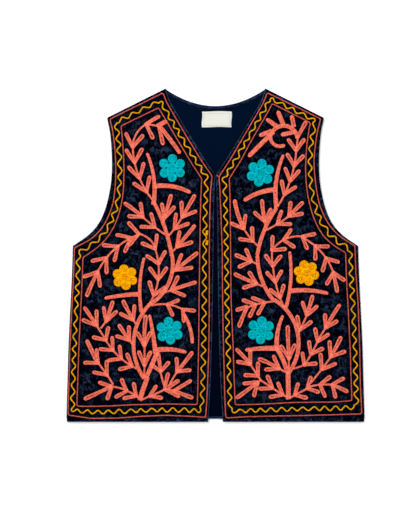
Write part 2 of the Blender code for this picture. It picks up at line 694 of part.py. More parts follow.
def make_embroidery(name, side, bands, chains, flowers):
    """The coral sprigs and the flowers of one front."""
    tree = surface_tree(vest.objects["front_" + name])
    shapes = [band_shape(band) for band in bands]
    for chain in chains:
        shapes += chain_shapes(chain)
    lay_on_front("sprigs_" + name, "coral_wool", shapes, tree, side)
    for flower in flowers:
        piece_name = "flower_" + name + "_" + flower.name
        lay_on_front(piece_name, flower.slot, flower_shapes(flower), tree, side)


clear_scene()
vest = new_collection("folk_vest")
materials = {name: new_material(name, finish) for name, finish in FINISHES.items()}
make_back()
make_label()
make_front("front_left", -1.0)
make_front("front_right", 1.0)
make_embroidery("left", -1.0, LEFT_BANDS, LEFT_CHAINS, LEFT_FLOWERS)
make_embroidery("right", 1.0, RIGHT_BANDS, RIGHT_CHAINS, RIGHT_FLOWERS)
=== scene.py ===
# %% [markdown]
# # A velvet vest with chain-stitched sprigs
# The vest lies on its back on a pale floor, and the camera looks straight down at it. It is made of thin
# cloth: a velvet back, a cotton lining on it, and two velvet fronts on top. The stitching lies on the fronts.
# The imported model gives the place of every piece, so it is loaded first and nothing in it is moved.

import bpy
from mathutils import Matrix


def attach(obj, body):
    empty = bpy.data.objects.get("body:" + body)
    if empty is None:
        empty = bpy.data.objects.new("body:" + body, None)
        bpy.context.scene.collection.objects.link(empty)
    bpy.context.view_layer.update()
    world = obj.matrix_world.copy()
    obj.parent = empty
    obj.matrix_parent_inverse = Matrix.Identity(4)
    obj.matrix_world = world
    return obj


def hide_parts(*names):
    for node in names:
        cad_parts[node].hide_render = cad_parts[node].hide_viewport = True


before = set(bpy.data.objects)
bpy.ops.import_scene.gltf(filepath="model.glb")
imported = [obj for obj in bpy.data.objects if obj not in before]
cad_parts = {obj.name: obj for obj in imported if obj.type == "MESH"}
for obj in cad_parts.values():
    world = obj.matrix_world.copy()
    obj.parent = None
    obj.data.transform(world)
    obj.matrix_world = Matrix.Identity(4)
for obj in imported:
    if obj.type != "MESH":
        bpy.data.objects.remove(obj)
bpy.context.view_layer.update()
print("nodes:", sorted(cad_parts))

# %% Tools and units
import math
from collections import namedtuple

import bmesh
import bpy
import numpy as np
from mathutils import Matrix, Vector
from mathutils.kdtree import KDTree

MM = 0.001
SIDES = {"left": -1.0, "right": 1.0}

# %% [markdown]
# ## Camera, floor and light
# A laid-out garment is photographed from a stand, straight down, under large soft lamps. A long lens keeps
# the near and far edges the same size. The light comes from two big area lamps and a bright plain world, so
# the shadows stay soft and the velvet's nap shows.

# %% Camera
PIXEL = 1.84 * MM
PICTURE_HEIGHT = 520
LENS = 90.0
SENSOR_HEIGHT = 24.0
VIEW_MIDDLE = Vector((-13.8 * MM, -8.3 * MM, 0.0))
CAMERA_HEIGHT = PICTURE_HEIGHT * PIXEL * LENS / SENSOR_HEIGHT

camera_data = bpy.data.cameras.new("camera")
camera_data.sensor_fit = "VERTICAL"
camera_data.sensor_height = SENSOR_HEIGHT
camera_data.lens = LENS
camera = bpy.data.objects.new("camera", camera_data)
camera.location = VIEW_MIDDLE + Vector((0.0, 0.0, CAMERA_HEIGHT))
bpy.context.scene.collection.objects.link(camera)
bpy.context.scene.camera = camera
print("camera height:", round(CAMERA_HEIGHT, 3), "m")


# %% Floor
FLOOR_HALF = 4.0
FLOOR_DROP = 0.3 * MM
FLOOR_GREY = 0.93


def new_material(name, roughness):
    """A Principled material, with its node tree and its shader."""
    material = bpy.data.materials.new(name)
    material.use_nodes = True
    shader = material.node_tree.nodes["Principled BSDF"]
    shader.inputs["Roughness"].default_value = roughness
    return material, material.node_tree, shader


def link_mesh(mesh, name, material):
    """Puts a finished mesh into the scene."""
    mesh.materials.append(material)
    thing = bpy.data.objects.new(name, mesh)
    bpy.context.scene.collection.objects.link(thing)
    return thing


def link_form(form, name, material):
    """Puts a finished bmesh into the scene."""
    mesh = bpy.data.meshes.new(name)
    form.to_mesh(mesh)
    form.free()
    return link_mesh(mesh, name, material)


floor_form = bmesh.new()
bmesh.ops.create_grid(floor_form, x_segments=1, y_segments=1, size=FLOOR_HALF)
bmesh.ops.translate(floor_form, verts=floor_form.verts, vec=(0.0, 0.0, -FLOOR_DROP))
pale_floor, _, floor_shader = new_material("pale_floor", 0.9)
floor_shader.inputs["Base Color"].default_value = (FLOOR_GREY, FLOOR_GREY, FLOOR_GREY, 1.0)
floor = link_form(floor_form, "floor", pale_floor)


# %% Lamps
WORLD_STRENGTH = 0.72


def area_lamp(name, place, size, power):
    """A square lamp that looks at the middle of the vest."""
    data = bpy.data.lights.new(name, "AREA")
    data.shape = "SQUARE"
    data.size = size
    data.energy = power
    lamp = bpy.data.objects.new(name, data)
    lamp.location = place
    lamp.rotation_euler = (-Vector(place)).to_track_quat("-Z", "Y").to_euler()
    bpy.context.scene.collection.objects.link(lamp)


area_lamp("key_lamp", (-1.5, 1.7, 2.2), 1.6, 84.0)
area_lamp("fill_lamp", (1.9, -0.6, 2.4), 2.4, 34.0)
world = bpy.data.worlds.new("pale_room")
world.use_nodes = True
background = world.node_tree.nodes["Background"]
background.inputs["Color"].default_value = (1.0, 1.0, 1.0, 1.0)
background.inputs["Strength"].default_value = WORLD_STRENGTH
bpy.context.scene.world = world
bpy.context.scene.view_settings.view_transform = "Standard"

# %% [markdown]
# ## The cut of the fronts
# Each front is cut from the shoulder to the hem. Its inner edge runs down the V neck and the centre front,
# its outer edge down the armhole and the side. A table of cross lines says where both edges are, and a
# smooth curve through them gives the edge. Distances are in millimetres from the centre line and from the
# middle of the length, the same for both fronts.

# %% Edges of a front
Section = namedtuple("Section", "inner_across inner_up outer_across outer_up")
FRONT_SECTIONS = [Section(*row) for row in (
    (91.6, 305.8, 199.1, 252.1),
    (88.4, 296.6, 197.4, 243.5),
    (82.6, 282, 194.2, 228),
    (71, 262, 191.6, 203.3),
    (54.5, 234, 190.3, 176),
    (37.5, 206, 190.8, 148),
    (20, 177.6, 194.4, 118.5),
    (0.2, 148, 202, 87),
    (1.8, 122, 214.3, 59.5),
    (2.7, 90, 233.3, 37.7),
    (3.4, 50, 261.6, 17.8),
    (4.1, -10, 263.4, -40),
    (5, -80, 266.4, -100),
    (6.4, -150, 269.4, -163),
    (8.6, -220, 271.2, -226),
    (11, -270, 272.7, -276),
    (13, -297.5, 273.2, -297.5),
    (13.8, -305.8, 273.2, -305.8),
)]
NECK_CORNER = 7
UNDERARM = 10
EDGE_STEPS = 6


def smooth_line(points, corners, steps):
    """A smooth line through the points, sharp at the given ones."""
    points = np.array(points, float)
    line = [points[0]]
    stops = [0] + list(corners) + [len(points) - 1]
    for first, last in zip(stops, stops[1:]):
        for row in range(first, last):
            start, end = points[row], points[row + 1]
            before = points[row - 1] if row > first else 2.0 * start - end
            after = points[row + 2] if row + 1 < last else 2.0 * end - start
            for step in range(1, steps + 1):
                t = step / steps
                line.append(0.5 * (
                    2.0 * start + (end - before) * t
                    + (2.0 * before - 5.0 * start + 4.0 * end - after) * t ** 2
                    + (3.0 * start - before - 3.0 * end + after) * t ** 3
                ))
    return np.array(line)


INNER_EDGE = smooth_line([(s.inner_across, s.inner_up) for s in FRONT_SECTIONS], (NECK_CORNER,), EDGE_STEPS)
OUTER_EDGE = smooth_line([(s.outer_across, s.outer_up) for s in FRONT_SECTIONS], (UNDERARM,), EDGE_STEPS)
TOP = 305.8
BACK_HEM = -300.1
print("points along an edge:", len(INNER_EDGE))

# %% [markdown]
# ## Border lines
# Two coral chain lines run round each front, with a yellow wave between them. They follow the cut, each
# edge at its own distance, so each edge is moved inwards and the moved lines are cut off where they meet.
# The distances change a little along an edge, as they do where stitches are made by hand.

# %% Moving an edge inwards
END_REACH = 40.0


def front_edges():
    """The six edges of a front, running once round it with the cloth on the left."""
    return {
        "shoulder": np.linspace(OUTER_EDGE[0], INNER_EDGE[0], 20),
        "neck": INNER_EDGE[: NECK_CORNER * EDGE_STEPS + 1],
        "centre": INNER_EDGE[NECK_CORNER * EDGE_STEPS:],
        "hem": np.linspace(INNER_EDGE[-1], OUTER_EDGE[-1], 40),
        "side": OUTER_EDGE[UNDERARM * EDGE_STEPS:][::-1],
        "armhole": OUTER_EDGE[: UNDERARM * EDGE_STEPS + 1][::-1],
    }


def reach_along(line):
    """How far along the line each point is, from 0 to its length."""
    return np.concatenate([[0.0], np.cumsum(np.linalg.norm(np.diff(line, axis=0), axis=1))])


def headings(line):
    """The direction of the line at each point."""
    along = np.gradient(line, axis=0)
    return along / np.linalg.norm(along, axis=1)[:, None]


def left_of(along):
    """The directions turned a quarter to the left."""
    return np.stack([-along[:, 1], along[:, 0]], axis=1)


def moved_inwards(line, distances):
    """The line moved to its left, by distances at shares of its length, and made longer at both ends."""
    reach = reach_along(line)
    width = np.interp(reach / reach[-1], *zip(*distances))
    along = headings(line)
    moved = line + left_of(along) * width[:, None]
    return np.vstack([moved[0] - along[0] * END_REACH, moved, moved[-1] + along[-1] * END_REACH])


def crossing(first, second):
    """Where two lines cross: the segment of each, and the point."""
    for i in range(len(first) - 2, -1, -1):
        a, b = first[i], first[i + 1] - first[i]
        for j in range(len(second) - 1):
            c, d = second[j], second[j + 1] - second[j]
            cross = b[0] * d[1] - b[1] * d[0]
            if abs(cross) < 1e-9:
                continue
            t = ((c[0] - a[0]) * d[1] - (c[1] - a[1]) * d[0]) / cross
            u = ((c[0] - a[0]) * b[1] - (c[1] - a[1]) * b[0]) / cross
            if 0.0 <= t <= 1.0 and 0.0 <= u <= 1.0:
                return i, j, a + b * t
    raise ValueError("two border lines don't meet")


def border_loop(distances):
    """A closed line inside a front's cut, and the name of the edge that each point belongs to."""
    edges = front_edges()
    names = list(edges)
    moved = [moved_inwards(edges[name], distances[name]) for name in names]
    meets = [crossing(moved[i], moved[(i + 1) % len(moved)]) for i in range(len(moved))]
    points, owners = [], []
    for i, name in enumerate(names):
        start = meets[i - 1]
        end = meets[i]
        part = [start[2]] + list(moved[i][start[1] + 1: end[0] + 1])
        points += part
        owners += [name] * len(part)
    return np.array(points), owners


# %% The distances of the three lines
OUTER_LINES = {
    "left": {
        "shoulder": ((0, 3.6), (1, 4.2)),
        "neck": ((0, 6.6), (0.8, 6.8), (1, 6.2)),
        "centre": ((0, 5.8), (0.08, 7.4), (0.3, 7.6), (0.7, 5.4), (1, 5.2)),
        "hem": ((0, 8), (0.12, 10.5), (0.3, 12.3), (0.48, 10.3), (0.65, 7), (0.83, 6.6), (1, 13)),
        "side": ((0, 1.9), (1, 2.4)),
        "armhole": ((0, 4.5), (0.15, 9), (0.4, 10.6), (0.6, 7.4), (0.75, 6.4), (1, 4.6)),
    },
    "right": {
        "shoulder": ((0, 3.6), (1, 4.6)),
        "neck": ((0, 5.2), (0.5, 5.6), (0.8, 6.6), (1, 7)),
        "centre": ((0, 5.8), (0.1, 6.4), (0.3, 8.4), (0.8, 7.6), (1, 5.8)),
        "hem": ((0, 7), (0.16, 9.7), (0.3, 10.7), (0.5, 11.5), (0.78, 13.3), (1, 15)),
        "side": ((0, 4.2), (0.2, 5.4), (0.7, 4), (0.85, 5.2), (1, 5.6)),
        "armhole": ((0, 3), (0.2, 5.6), (0.4, 8.6), (0.55, 8.2), (0.7, 9.4), (0.85, 7.5), (1, 5.6)),
    },
}
INNER_LINES = {
    "left": {
        "shoulder": ((0, 24), (1, 25.4)),
        "neck": ((0, 24), (1, 24.6)),
        "centre": ((0, 24.4), (0.2, 24.8), (0.5, 25.2), (0.8, 23.6), (1, 21.4)),
        "hem": ((0, 31.6), (0.3, 33.2), (0.55, 31.5), (0.7, 29.3), (0.85, 28.6), (1, 29.7)),
        "side": ((0, 17.8), (0.5, 18.8), (1, 18.6)),
        "armhole": ((0, 28), (0.2, 28), (0.45, 25.5), (0.6, 22.5), (0.8, 21.2), (1, 22)),
    },
    "right": {
        "shoulder": ((0, 18.5), (1, 18.4)),
        "neck": ((0, 20.5), (0.5, 21.5), (0.75, 24), (1, 24.6)),
        "centre": ((0, 24.4), (0.5, 23.6), (0.7, 25.6), (0.9, 25.2), (1, 24)),
        "hem": ((0, 30.8), (0.3, 33), (0.5, 36), (0.8, 36.8), (1, 41)),
        "side": ((0, 21.8), (0.5, 22.6), (1, 23)),
        "armhole": ((0, 22), (0.2, 26.5), (0.45, 26), (0.7, 24.5), (1, 22)),
    },
}


def distances_between(outer, inner):
    """The distances half way between two border lines."""
    shares = np.linspace(0.0, 1.0, 6)
    middle = {}
    for name in outer:
        near, far = (np.interp(shares, *zip(*lines[name])) for lines in (outer, inner))
        middle[name] = tuple(zip(shares, 0.5 * (near + far)))
    return middle


def even_points(line, count):
    """A number of points an even distance apart along the line."""
    reach = reach_along(line)
    at = np.linspace(0.0, reach[-1], count)
    return np.stack([np.interp(at, reach, line[:, axis]) for axis in (0, 1)], axis=1)


def spaced(line, step, closed=False):
    """The line again, with points an even step apart."""
    if closed:
        line = np.vstack([line, line[:1]])
    even = even_points(line, max(2, round(reach_along(line)[-1] / step)) + 1)
    return even[:-1] if closed else even


def rounded(line, rounds):
    """A closed line with its corners softened."""
    for _ in range(rounds):
        line = 0.25 * np.roll(line, 1, axis=0) + 0.5 * line + 0.25 * np.roll(line, -1, axis=0)
    return line


# %% The yellow wave
WAVE_PITCH = {"shoulder": 21.0, "neck": 19.7, "centre": 23.0, "hem": 19.7, "side": 22.6, "armhole": 23.5}
WAVE_HEIGHT = {"shoulder": 3.2, "neck": 3.1, "centre": 3.7, "hem": 3.7, "side": 3.6, "armhole": 3.6}
WAVE_START = {"left": 0.0, "right": 0.45}
WAVE_DRIFT = 0.09
WAVE_SIZES = (0.82, 1.14)
WAVE_SEED = 11


def wave_line(distances, rng, start):
    """The yellow line between the two coral ones: rounded zigzags, a little uneven."""
    points, owners = border_loop(distances)
    reach = reach_along(np.vstack([points, points[:1]]))
    line = rounded(spaced(points, 1.0, closed=True), 40)
    along = headings(np.vstack([line[-1:], line, line[:1]]))[1:-1]
    at = np.linspace(0.0, reach[-1], len(line), endpoint=False)
    owner = np.clip(np.searchsorted(reach, at, side="right") - 1, 0, len(owners) - 1)
    pitch, height = (np.array([table[owners[i]] for i in owner]) for table in (WAVE_PITCH, WAVE_HEIGHT))
    turns = np.cumsum(1.0 / pitch)
    whole = round(turns[-1])
    turns *= whole / turns[-1]
    drift = np.interp(turns, np.arange(whole + 1), rng.uniform(-WAVE_DRIFT, WAVE_DRIFT, whole + 1))
    size = np.interp(turns, np.arange(whole + 1), rng.uniform(*WAVE_SIZES, whole + 1))
    swing = 2.0 * math.pi * (turns + drift + start)
    sideways = (np.sin(swing) - 0.03 * np.sin(3.0 * swing)) * height * size
    return line + left_of(along) * sideways[:, None]


rng = np.random.default_rng(WAVE_SEED)
borders = {}
for name in SIDES:
    borders[name] = {
        line: rounded(spaced(border_loop(table[name])[0], 1.0, closed=True), 6)
        for line, table in (("outer", OUTER_LINES), ("inner", INNER_LINES))
    }
    middle = distances_between(OUTER_LINES[name], INNER_LINES[name])
    borders[name]["wave"] = wave_line(middle, rng, WAVE_START[name])
    lengths = {line: round(reach_along(points)[-1]) for line, points in borders[name].items()}
    print(name, "border:", lengths, "mm")

# %% [markdown]
# ## The sprigs and flowers
# Stems, horns and twigs branch over each front, with pairs of leaf fingers along the twigs. Each is drawn as
# a bent line: where it starts, which way it heads, how much it turns and how long it is. Heading 0 points to
# the side seam and 90 to the shoulder. The two fronts are near mirror images with small differences, so each
# has its own table. The maker works a leaf as a hairpin: up one side, round the tip and back.

# %% Tables of the sprigs
Band = namedtuple("Band", "across up heading turn length root_width tip_width")
Chain = namedtuple("Chain", "across up heading turn length first pairs spread lean finger tip")
Flower = namedtuple("Flower", "name slot across up rotation ring")


def tables(kind, **sides):
    """A table for each front, with named columns."""
    return {name: [kind(*row) for row in table] for name, table in sides.items()}


BANDS = tables(Band, left=(
    (139, -266, 105, 8, 46, 9.5, 9),
    (131, -226, 55, 78, 147, 7.4, 7.4),
    (128, -226, 114, 0, 52, 8, 9.5),
    (124, -92, 151.5, -73, 111.2, 7.6, 7.6),
    (80.3, -1, 81, -19, 106.5, 7.6, 7.4),
    (114, 93, 99, -32, 97, 9, 5.6),
    (113, 127, 171.5, 37, 70, 9.5, 7.4),
    (136, -104, 80.5, 25, 101, 7.4, 5.6),
    (141, -71, -2, -10, 63, 9, 6.4),
    (110, -180, 84, -6, 72, 9.6, 5.6),
    (110, -174, 170, 28, 57, 10.4, 6.6),
    (103, 238, 230.5, 5, 64, 8, 7.6),
    (107, 238, 153, 0, 20, 8.2, 8.8),
    (59.5, -106, -124, 34, 58, 6.8, 7),
    (215.5, -199, 64, 0, 49, 8.2, 8.2),
    (88, -243, 146, 0, 26, 8.2, 8.2),
), right=(
    (134, -264, 91, 0, 52, 9.4, 9),
    (134, -216, 53, 98, 158, 7.6, 7.4),
    (132.5, -217, 104, 18, 52, 7.6, 9.5),
    (107, -83, 129.5, -40, 92, 7.6, 7.4),
    (76.9, 1, 81, -27, 95.5, 7.4, 7.2),
    (112, 88, 98.5, -32, 99, 9, 6),
    (112, 121, 182, 34, 64.5, 9.4, 7.6),
    (128.5, -98, 73, 26, 106, 7.2, 5.8),
    (138, -65, 7, -22, 69, 9.2, 6.6),
    (113, -172, 96, -32, 64, 9.6, 5.8),
    (115, -170.5, 178, 10, 60, 10.2, 6.8),
    (106, 227, -135, 0, 64, 8.6, 8.4),
    (103, 225, -118, 150, 44, 6.8, 6.8),
    (125, 239, 112, 0, 28, 8.2, 8.8),
    (114, 236, 144, 0, 25, 8.2, 8.4),
    (103, 229, 202, 0, 24, 8.2, 8.4),
    (53, 48, 119, -22, 58, 7.4, 8.2),
    (150.5, 215.5, 96, 140, 62, 7.6, 7.8),
    (144, 236, 101, 0, 22, 8.2, 8.2),
    (148, 227.5, 192.6, 0, 28, 8.2, 8.4),
    (60, -94, 196, 0, 24, 8.2, 8.2),
))
CHAINS = tables(Chain, left=(
    (114, 100, 50, 38, 108, 21, 4, 34, 8, 29, 0),
    (152, 199, 90, 62, 52, 51, 1, 47, 42, 29, 0),
    (130, 241, 184, 8, 26, 25, 0, 0, 63, 0, 34),
    (92, 38, 34, 8, 53, 24, 2, 40, 0, 26.5, 42),
    (95.5, 61, 105, 0, 10, 9, 1, 29, 0, 27, 42),
    (87, 35, 132, -12, 44, 18, 2, 34, 1, 28.5, 46),
    (78, 8, 132, 0, 12, 10, 1, 33, 0, 29.5, 50),
    (81, -33, 141, 0, 12, 10, 1, 34, 0, 31, 49),
    (97, -69, 161, 0, 18, 17, 1, 42, 0, 28, 46.5),
    (124, -93, 124, -54, 110, 23, 4, 38, -7, 27, 0),
    (110, 12, 72, -62, 45, 43, 1, 49, -14, 28, 0),
    (140, 38.7, -20, -44, 105, 16, 4, 40, 2, 28, 49),
    (118, -92, 165, 44, 60, 30, 2, 40, 15, 23, 0),
    (131, -226, 92, -3, 60, 24, 2, 23, -1, 28, 55.5),
    (145.5, -127, 57, 0, 12, 11, 1, 37, 3, 27, 38),
    (151, -165, 53, 0, 13, 11, 1, 33, 0, 26, 33),
    (144, -208, 25, 35, 79, 11, 4, 43, -3, 24.5, 0),
    (201.3, -155.5, 58, 0, 33, 32, 1, 35, -3, 28, 39),
    (211, -134, 128, 0, 18, 16, 1, 29, -21, 27, 37),
    (138, -265, 48, -30, 30, 10, 2, 46, -2, 24, 0),
    (160.5, -248, 20, -12, 32, 31, 1, 42, -35, 25, 54),
    (188, -237, 60, -10, 48, 21, 2, 38, -8, 26, 0),
    (139, -266, 160, -6, 20, 20, 1, 34, 0, 23, 0),
    (120.5, -259, 156, -4, 32, 31, 1, 54, 1, 30, 0),
    (92, -245, 190, 0, 18, 17, 1, 28, -12, 36, 0),
    (92, -245, 68, 14, 36, 33, 1, 46, 4, 23, 32),
    (86, -240, 118, 4, 32, 30, 1, 38, 9, 25.5, 44),
), right=(
    (114, 90, 57, 29, 109, 25, 4, 33, 6, 26, 0),
    (148.3, 192.1, 84, 0, 26, 25, 0, 0, -23, 0, 31),
    (92, 51, 98, 0, 13, 11, 1, 40, 3, 26, 38),
    (78, 17, 138, -18, 42, 13, 2, 39, 1, 25.5, 0),
    (77, -16, 156, 0, 14, 12, 1, 46, 1, 25, 30),
    (87, -57, 157, 0, 14, 12, 1, 37, 2, 26, 43),
    (125.3, -94, 115, -20, 77.5, 18, 3, 34, -5, 24.5, 0),
    (104.8, -22, 96, -8, 33, 32, 1, 40, -44, 26, 0),
    (106, 12, 54, -62, 61, 26, 2, 42, -20, 24.5, 0),
    (159.5, 32.8, -26, -45, 88, 28, 3, 42, -7, 25, 36),
    (89.5, 45, 24, 14, 53, 27, 2, 37, 7, 26, 36),
    (108, -84, 185.5, 9.5, 35, 18, 2, 43, 7, 25, 0),
    (73.7, -90.6, 195, 4, 17, 16, 0, 0, 46, 0, 38),
    (134, -216, 88, 0, 28, 26, 1, 25, 6, 28, 58),
    (152, -143, 63, 4, 37, 8, 2, 35, 5, 26, 37),
    (143.5, -208, 16, 10, 22, 21, 1, 43, 27, 23, 0),
    (164, -200.5, 58, 6, 49, 22.5, 2, 37, 4, 24.5, 0),
    (187, -157, 58, 0, 30, 29, 1, 33, 3, 25, 48),
    (128, -214, 150, 0, 14, 12, 1, 34, 0, 26, 40),
    (134, -262, 150, -4, 35, 12, 2, 38, 2, 24.5, 0),
    (105, -243.5, 147, 0, 27, 26, 0, 0, 0, 0, 0),
    (83, -229, 124, -2, 35, 9, 2, 40, 8, 25, 38),
    (83, -229, 215, 0, 8, 7, 1, 34, 3, 27, 47),
    (135, -262, 28, 0, 38, 12, 2, 46, 3, 22.5, 0),
    (168, -242, 16, -20, 47, 24, 2, 54, -18, 24.5, 31),
    (170, -239, 48, 8, 67, 38, 2, 36, 3, 29, 41),
))
FLOWERS = tables(Flower, left=(
    ("upper", "turquoise_wool", 79.7, 160.4, 90, 17),
    ("middle", "yellow_wool", 166.3, -40, 83, 15),
    ("lower", "turquoise_wool", 84.5, -138.4, 84.5, 16.8),
), right=(
    ("upper", "turquoise_wool", 82.3, 151.8, 81, 17),
    ("middle", "yellow_wool", 167, -32.4, 108, 15.2),
    ("lower", "turquoise_wool", 83.5, -137.3, 86, 17),
))
print("stems and horns:", {name: len(rows) for name, rows in BANDS.items()})

# %% Rows of chain stitch
ROW_WIDTH = 4.05
LEAF_ROW_WIDTH = 3.75
TWIG_WIDTH = 4.0
STITCH = 3.1
INSIDE_OFFSET = 2.1
FINGER_OPENINGS = (1.95, 2.1, 2.25, 2.35)
Row = namedtuple("Row", "line width lift stitch")


def rays(angles):
    """Unit steps at the given angles."""
    return np.stack([np.cos(angles), np.sin(angles)], axis=1)


def bent_line(across, up, heading, turn, length, step=1.5):
    """Points along a bent line, and the heading at each. A table's first five columns describe one."""
    count = max(2, round(length / step))
    angles = np.radians(heading + turn * np.linspace(0.0, 1.0, count + 1))
    steps = rays(0.5 * (angles[1:] + angles[:-1])) * (length / count)
    return np.vstack([[0.0, 0.0], np.cumsum(steps, axis=0)]) + (across, up), angles


def hairpin(points, angles, offsets):
    """A line up one side of the points, round the tip and back down the other side."""
    sideways = left_of(rays(angles)) * offsets[:, None]
    reach = reach_along(points)
    keep = reach <= reach[-1] - offsets[-1]
    swing = angles[keep][-1] + np.linspace(-math.pi / 2, math.pi / 2, 7)[1:-1]
    cap = points[keep][-1] + rays(swing) * offsets[-1]
    return np.vstack([(points - sideways)[keep], cap, (points + sideways)[keep][::-1]])


def band_rows(band):
    """The rows of a stem or horn: a hairpin, and a row inside it where it is wide."""
    points, angles = bent_line(*band[:5])
    widths = np.linspace(band.root_width, band.tip_width, len(points))
    offsets = np.maximum((widths - ROW_WIDTH) / 2, 1.0)
    rows = [Row(hairpin(points, angles, offsets), ROW_WIDTH, 0.0, STITCH)]
    wide = offsets > INSIDE_OFFSET
    if wide.sum() > 4:
        rows.append(Row(points[wide], ROW_WIDTH, 0.05, STITCH))
    return rows


def finger_rows(place, angle, length, rng):
    """The hairpin of one leaf finger."""
    root = place - np.array([math.cos(angle), math.sin(angle)]) * 1.5
    points, angles = bent_line(root[0], root[1], math.degrees(angle), rng.uniform(-9.0, 9.0), length + 3.0)
    opening = rng.choice(FINGER_OPENINGS)
    widening = [1.65, 1.75, opening, opening]
    offsets = np.interp(np.linspace(0.0, 1.0, len(points)), [0.0, 0.5, 0.75, 1.0], widening)
    return [Row(hairpin(points, angles, offsets), LEAF_ROW_WIDTH, 0.0, STITCH)]


def chain_rows(chain, rng):
    """The rows of a twig and of its leaf fingers."""
    points, angles = bent_line(*chain[:5])
    rows = [Row(points, TWIG_WIDTH, 0.1, STITCH)]
    gap = (chain.length - chain.first) / max(chain.pairs - 1, 1)
    spread, lean = math.radians(chain.spread), math.radians(chain.lean)
    for pair in range(chain.pairs):
        share = (chain.first + gap * pair) / chain.length
        at = min(round(share * (len(points) - 1)), len(points) - 1)
        for way in (spread, -spread):
            rows += finger_rows(points[at], angles[at] + lean + way, chain.finger, rng)
    if chain.tip:
        rows += finger_rows(points[-1], angles[-1] + lean, chain.tip, rng)
    return rows


# %% Petals
PETAL_ROW_WIDTH = 3.9
PETAL_STITCH = 2.6
PETAL_RADII = (6.9, 7.2)
MIDDLE_RADIUS = 8.2


def spiral(centre, radius, start, pitch=3.3):
    """A line that goes once round a circle and then winds inwards to its middle."""
    turns = 1.0 + (radius - 0.6) / pitch
    swing = np.linspace(0.0, 2.0 * math.pi * turns, int(turns * 20))
    radii = np.minimum(radius, radius + pitch - pitch * swing / (2.0 * math.pi))
    return centre + rays(swing + start) * radii[:, None]


def flower_rows(flower, rng):
    """Six round petals and a middle, each a spiral of chain stitch."""
    centre = np.array([flower.across, flower.up])
    rows = []
    for petal in range(6):
        swing = math.radians(flower.rotation + 60.0 * petal + rng.uniform(-2.0, 2.0))
        place = centre + np.array([math.cos(swing), math.sin(swing)]) * (flower.ring + rng.uniform(-0.4, 0.4))
        line = spiral(place, rng.uniform(*PETAL_RADII), swing + 2.4)
        rows.append(Row(line, PETAL_ROW_WIDTH, 0.0, PETAL_STITCH))
    rows.append(Row(spiral(centre, MIDDLE_RADIUS, 0.6), PETAL_ROW_WIDTH, 0.2, PETAL_STITCH))
    return rows


# %% All rows
BORDER_WIDTH = 2.1
BORDER_STITCH = 2.9
WAVE_WIDTH = 2.5
WAVE_STITCH = 2.2
SPRIG_SEEDS = {"left": 21, "right": 22}
DOUBLED_STITCHES = (((15.4, 46.0), (16.6, 37.5)), ((15.2, 28.0), (16.4, 19.5)))
CORNER_HOOK = ((7.0, 144.0), (2.4, 147.2))

rows = {}
for name in SIDES:
    rng = np.random.default_rng(SPRIG_SEEDS[name])
    rows["stems_" + name] = [row for band in BANDS[name] for row in band_rows(band)]
    rows["twigs_" + name] = [row for chain in CHAINS[name] for row in chain_rows(chain, rng)]
    for flower in FLOWERS[name]:
        rows["flower_" + name + "_" + flower.name] = flower_rows(flower, rng)
    closed = {line: np.vstack([points, points[:1]]) for line, points in borders[name].items()}
    chains = (closed["outer"], closed["inner"])
    rows["border_" + name] = [Row(line, BORDER_WIDTH, -0.2, BORDER_STITCH) for line in chains]
    rows["wave_" + name] = [Row(closed["wave"], WAVE_WIDTH, -0.1, WAVE_STITCH)]
for ends in DOUBLED_STITCHES:
    for shift in (-1.1, 1.1):
        rows["wave_left"].append(Row(np.array(ends) + (shift, 0.0), WAVE_WIDTH, 0.1, WAVE_STITCH))
rows["border_right"].append(Row(np.array(CORNER_HOOK), BORDER_WIDTH, 0.0, BORDER_STITCH))
print("rows:", {name: len(group) for name, group in rows.items()})

# %% [markdown]
# ## How the fronts lie
# Velvet laid flat is never flat. It is sewn down at the shoulder and side seams, rises over the lining, and
# stands a little fuller in the middle. Stitching draws it down, so the ground between the sprigs stands up in
# low pillows, and a few long soft creases cross it. The height is worked out for every place on a grid, and
# both the cloth and the stitches read it, so no stitch floats or sinks.

# %% Height of the cloth
LINING_BASE = 1.5
FRONT_RISE = 1.8
FRONT_WALL = 2.0
FULLNESS = 2.2
Crease = namedtuple("Crease", "across up heading turn length width height")
CREASES = tables(Crease, left=(
    (150, 215, -70, -25, 120, 9, 0.5),
    (60, 70, -20, 30, 90, 10, -0.4),
    (205, 10, -120, 20, 110, 12, 0.6),
    (70, -60, -60, -30, 130, 11, 0.5),
    (230, -110, -95, 15, 120, 10, -0.5),
    (40, -200, -40, 35, 110, 12, 0.5),
    (180, -190, -75, -20, 90, 9, 0.5),
), right=(
    (140, 190, -95, 22, 110, 10, 0.5),
    (180, 70, -100, -30, 120, 10, -0.4),
    (55, 30, -75, 20, 120, 11, 0.5),
    (215, -30, -70, -18, 120, 10, 0.6),
    (110, -110, -50, 25, 100, 11, -0.5),
    (230, -190, -110, 25, 100, 12, 0.5),
    (50, -180, -85, -15, 110, 9, 0.4),
))


def soft_step(share):
    """0 to 1, easing in and out."""
    share = np.clip(share, 0.0, 1.0)
    return share * share * (3.0 - 2.0 * share)


def distance_to(points, line):
    """The distance from each point to a line."""
    best = np.full(len(points), 1e9)
    for start, step in zip(line[:-1], np.diff(line, axis=0)):
        share = np.clip((points - start) @ step / max(step @ step, 1e-9), 0.0, 1.0)
        best = np.minimum(best, np.linalg.norm(points - start - share[:, None] * step, axis=1))
    return best


def creases_at(points, creases):
    """The height that the creases add at each point."""
    height = np.zeros(len(points))
    for crease in creases:
        away = distance_to(points, bent_line(*crease[:5], 12.0)[0]) / crease.width
        height += crease.height * np.exp(-away * away)
    return height


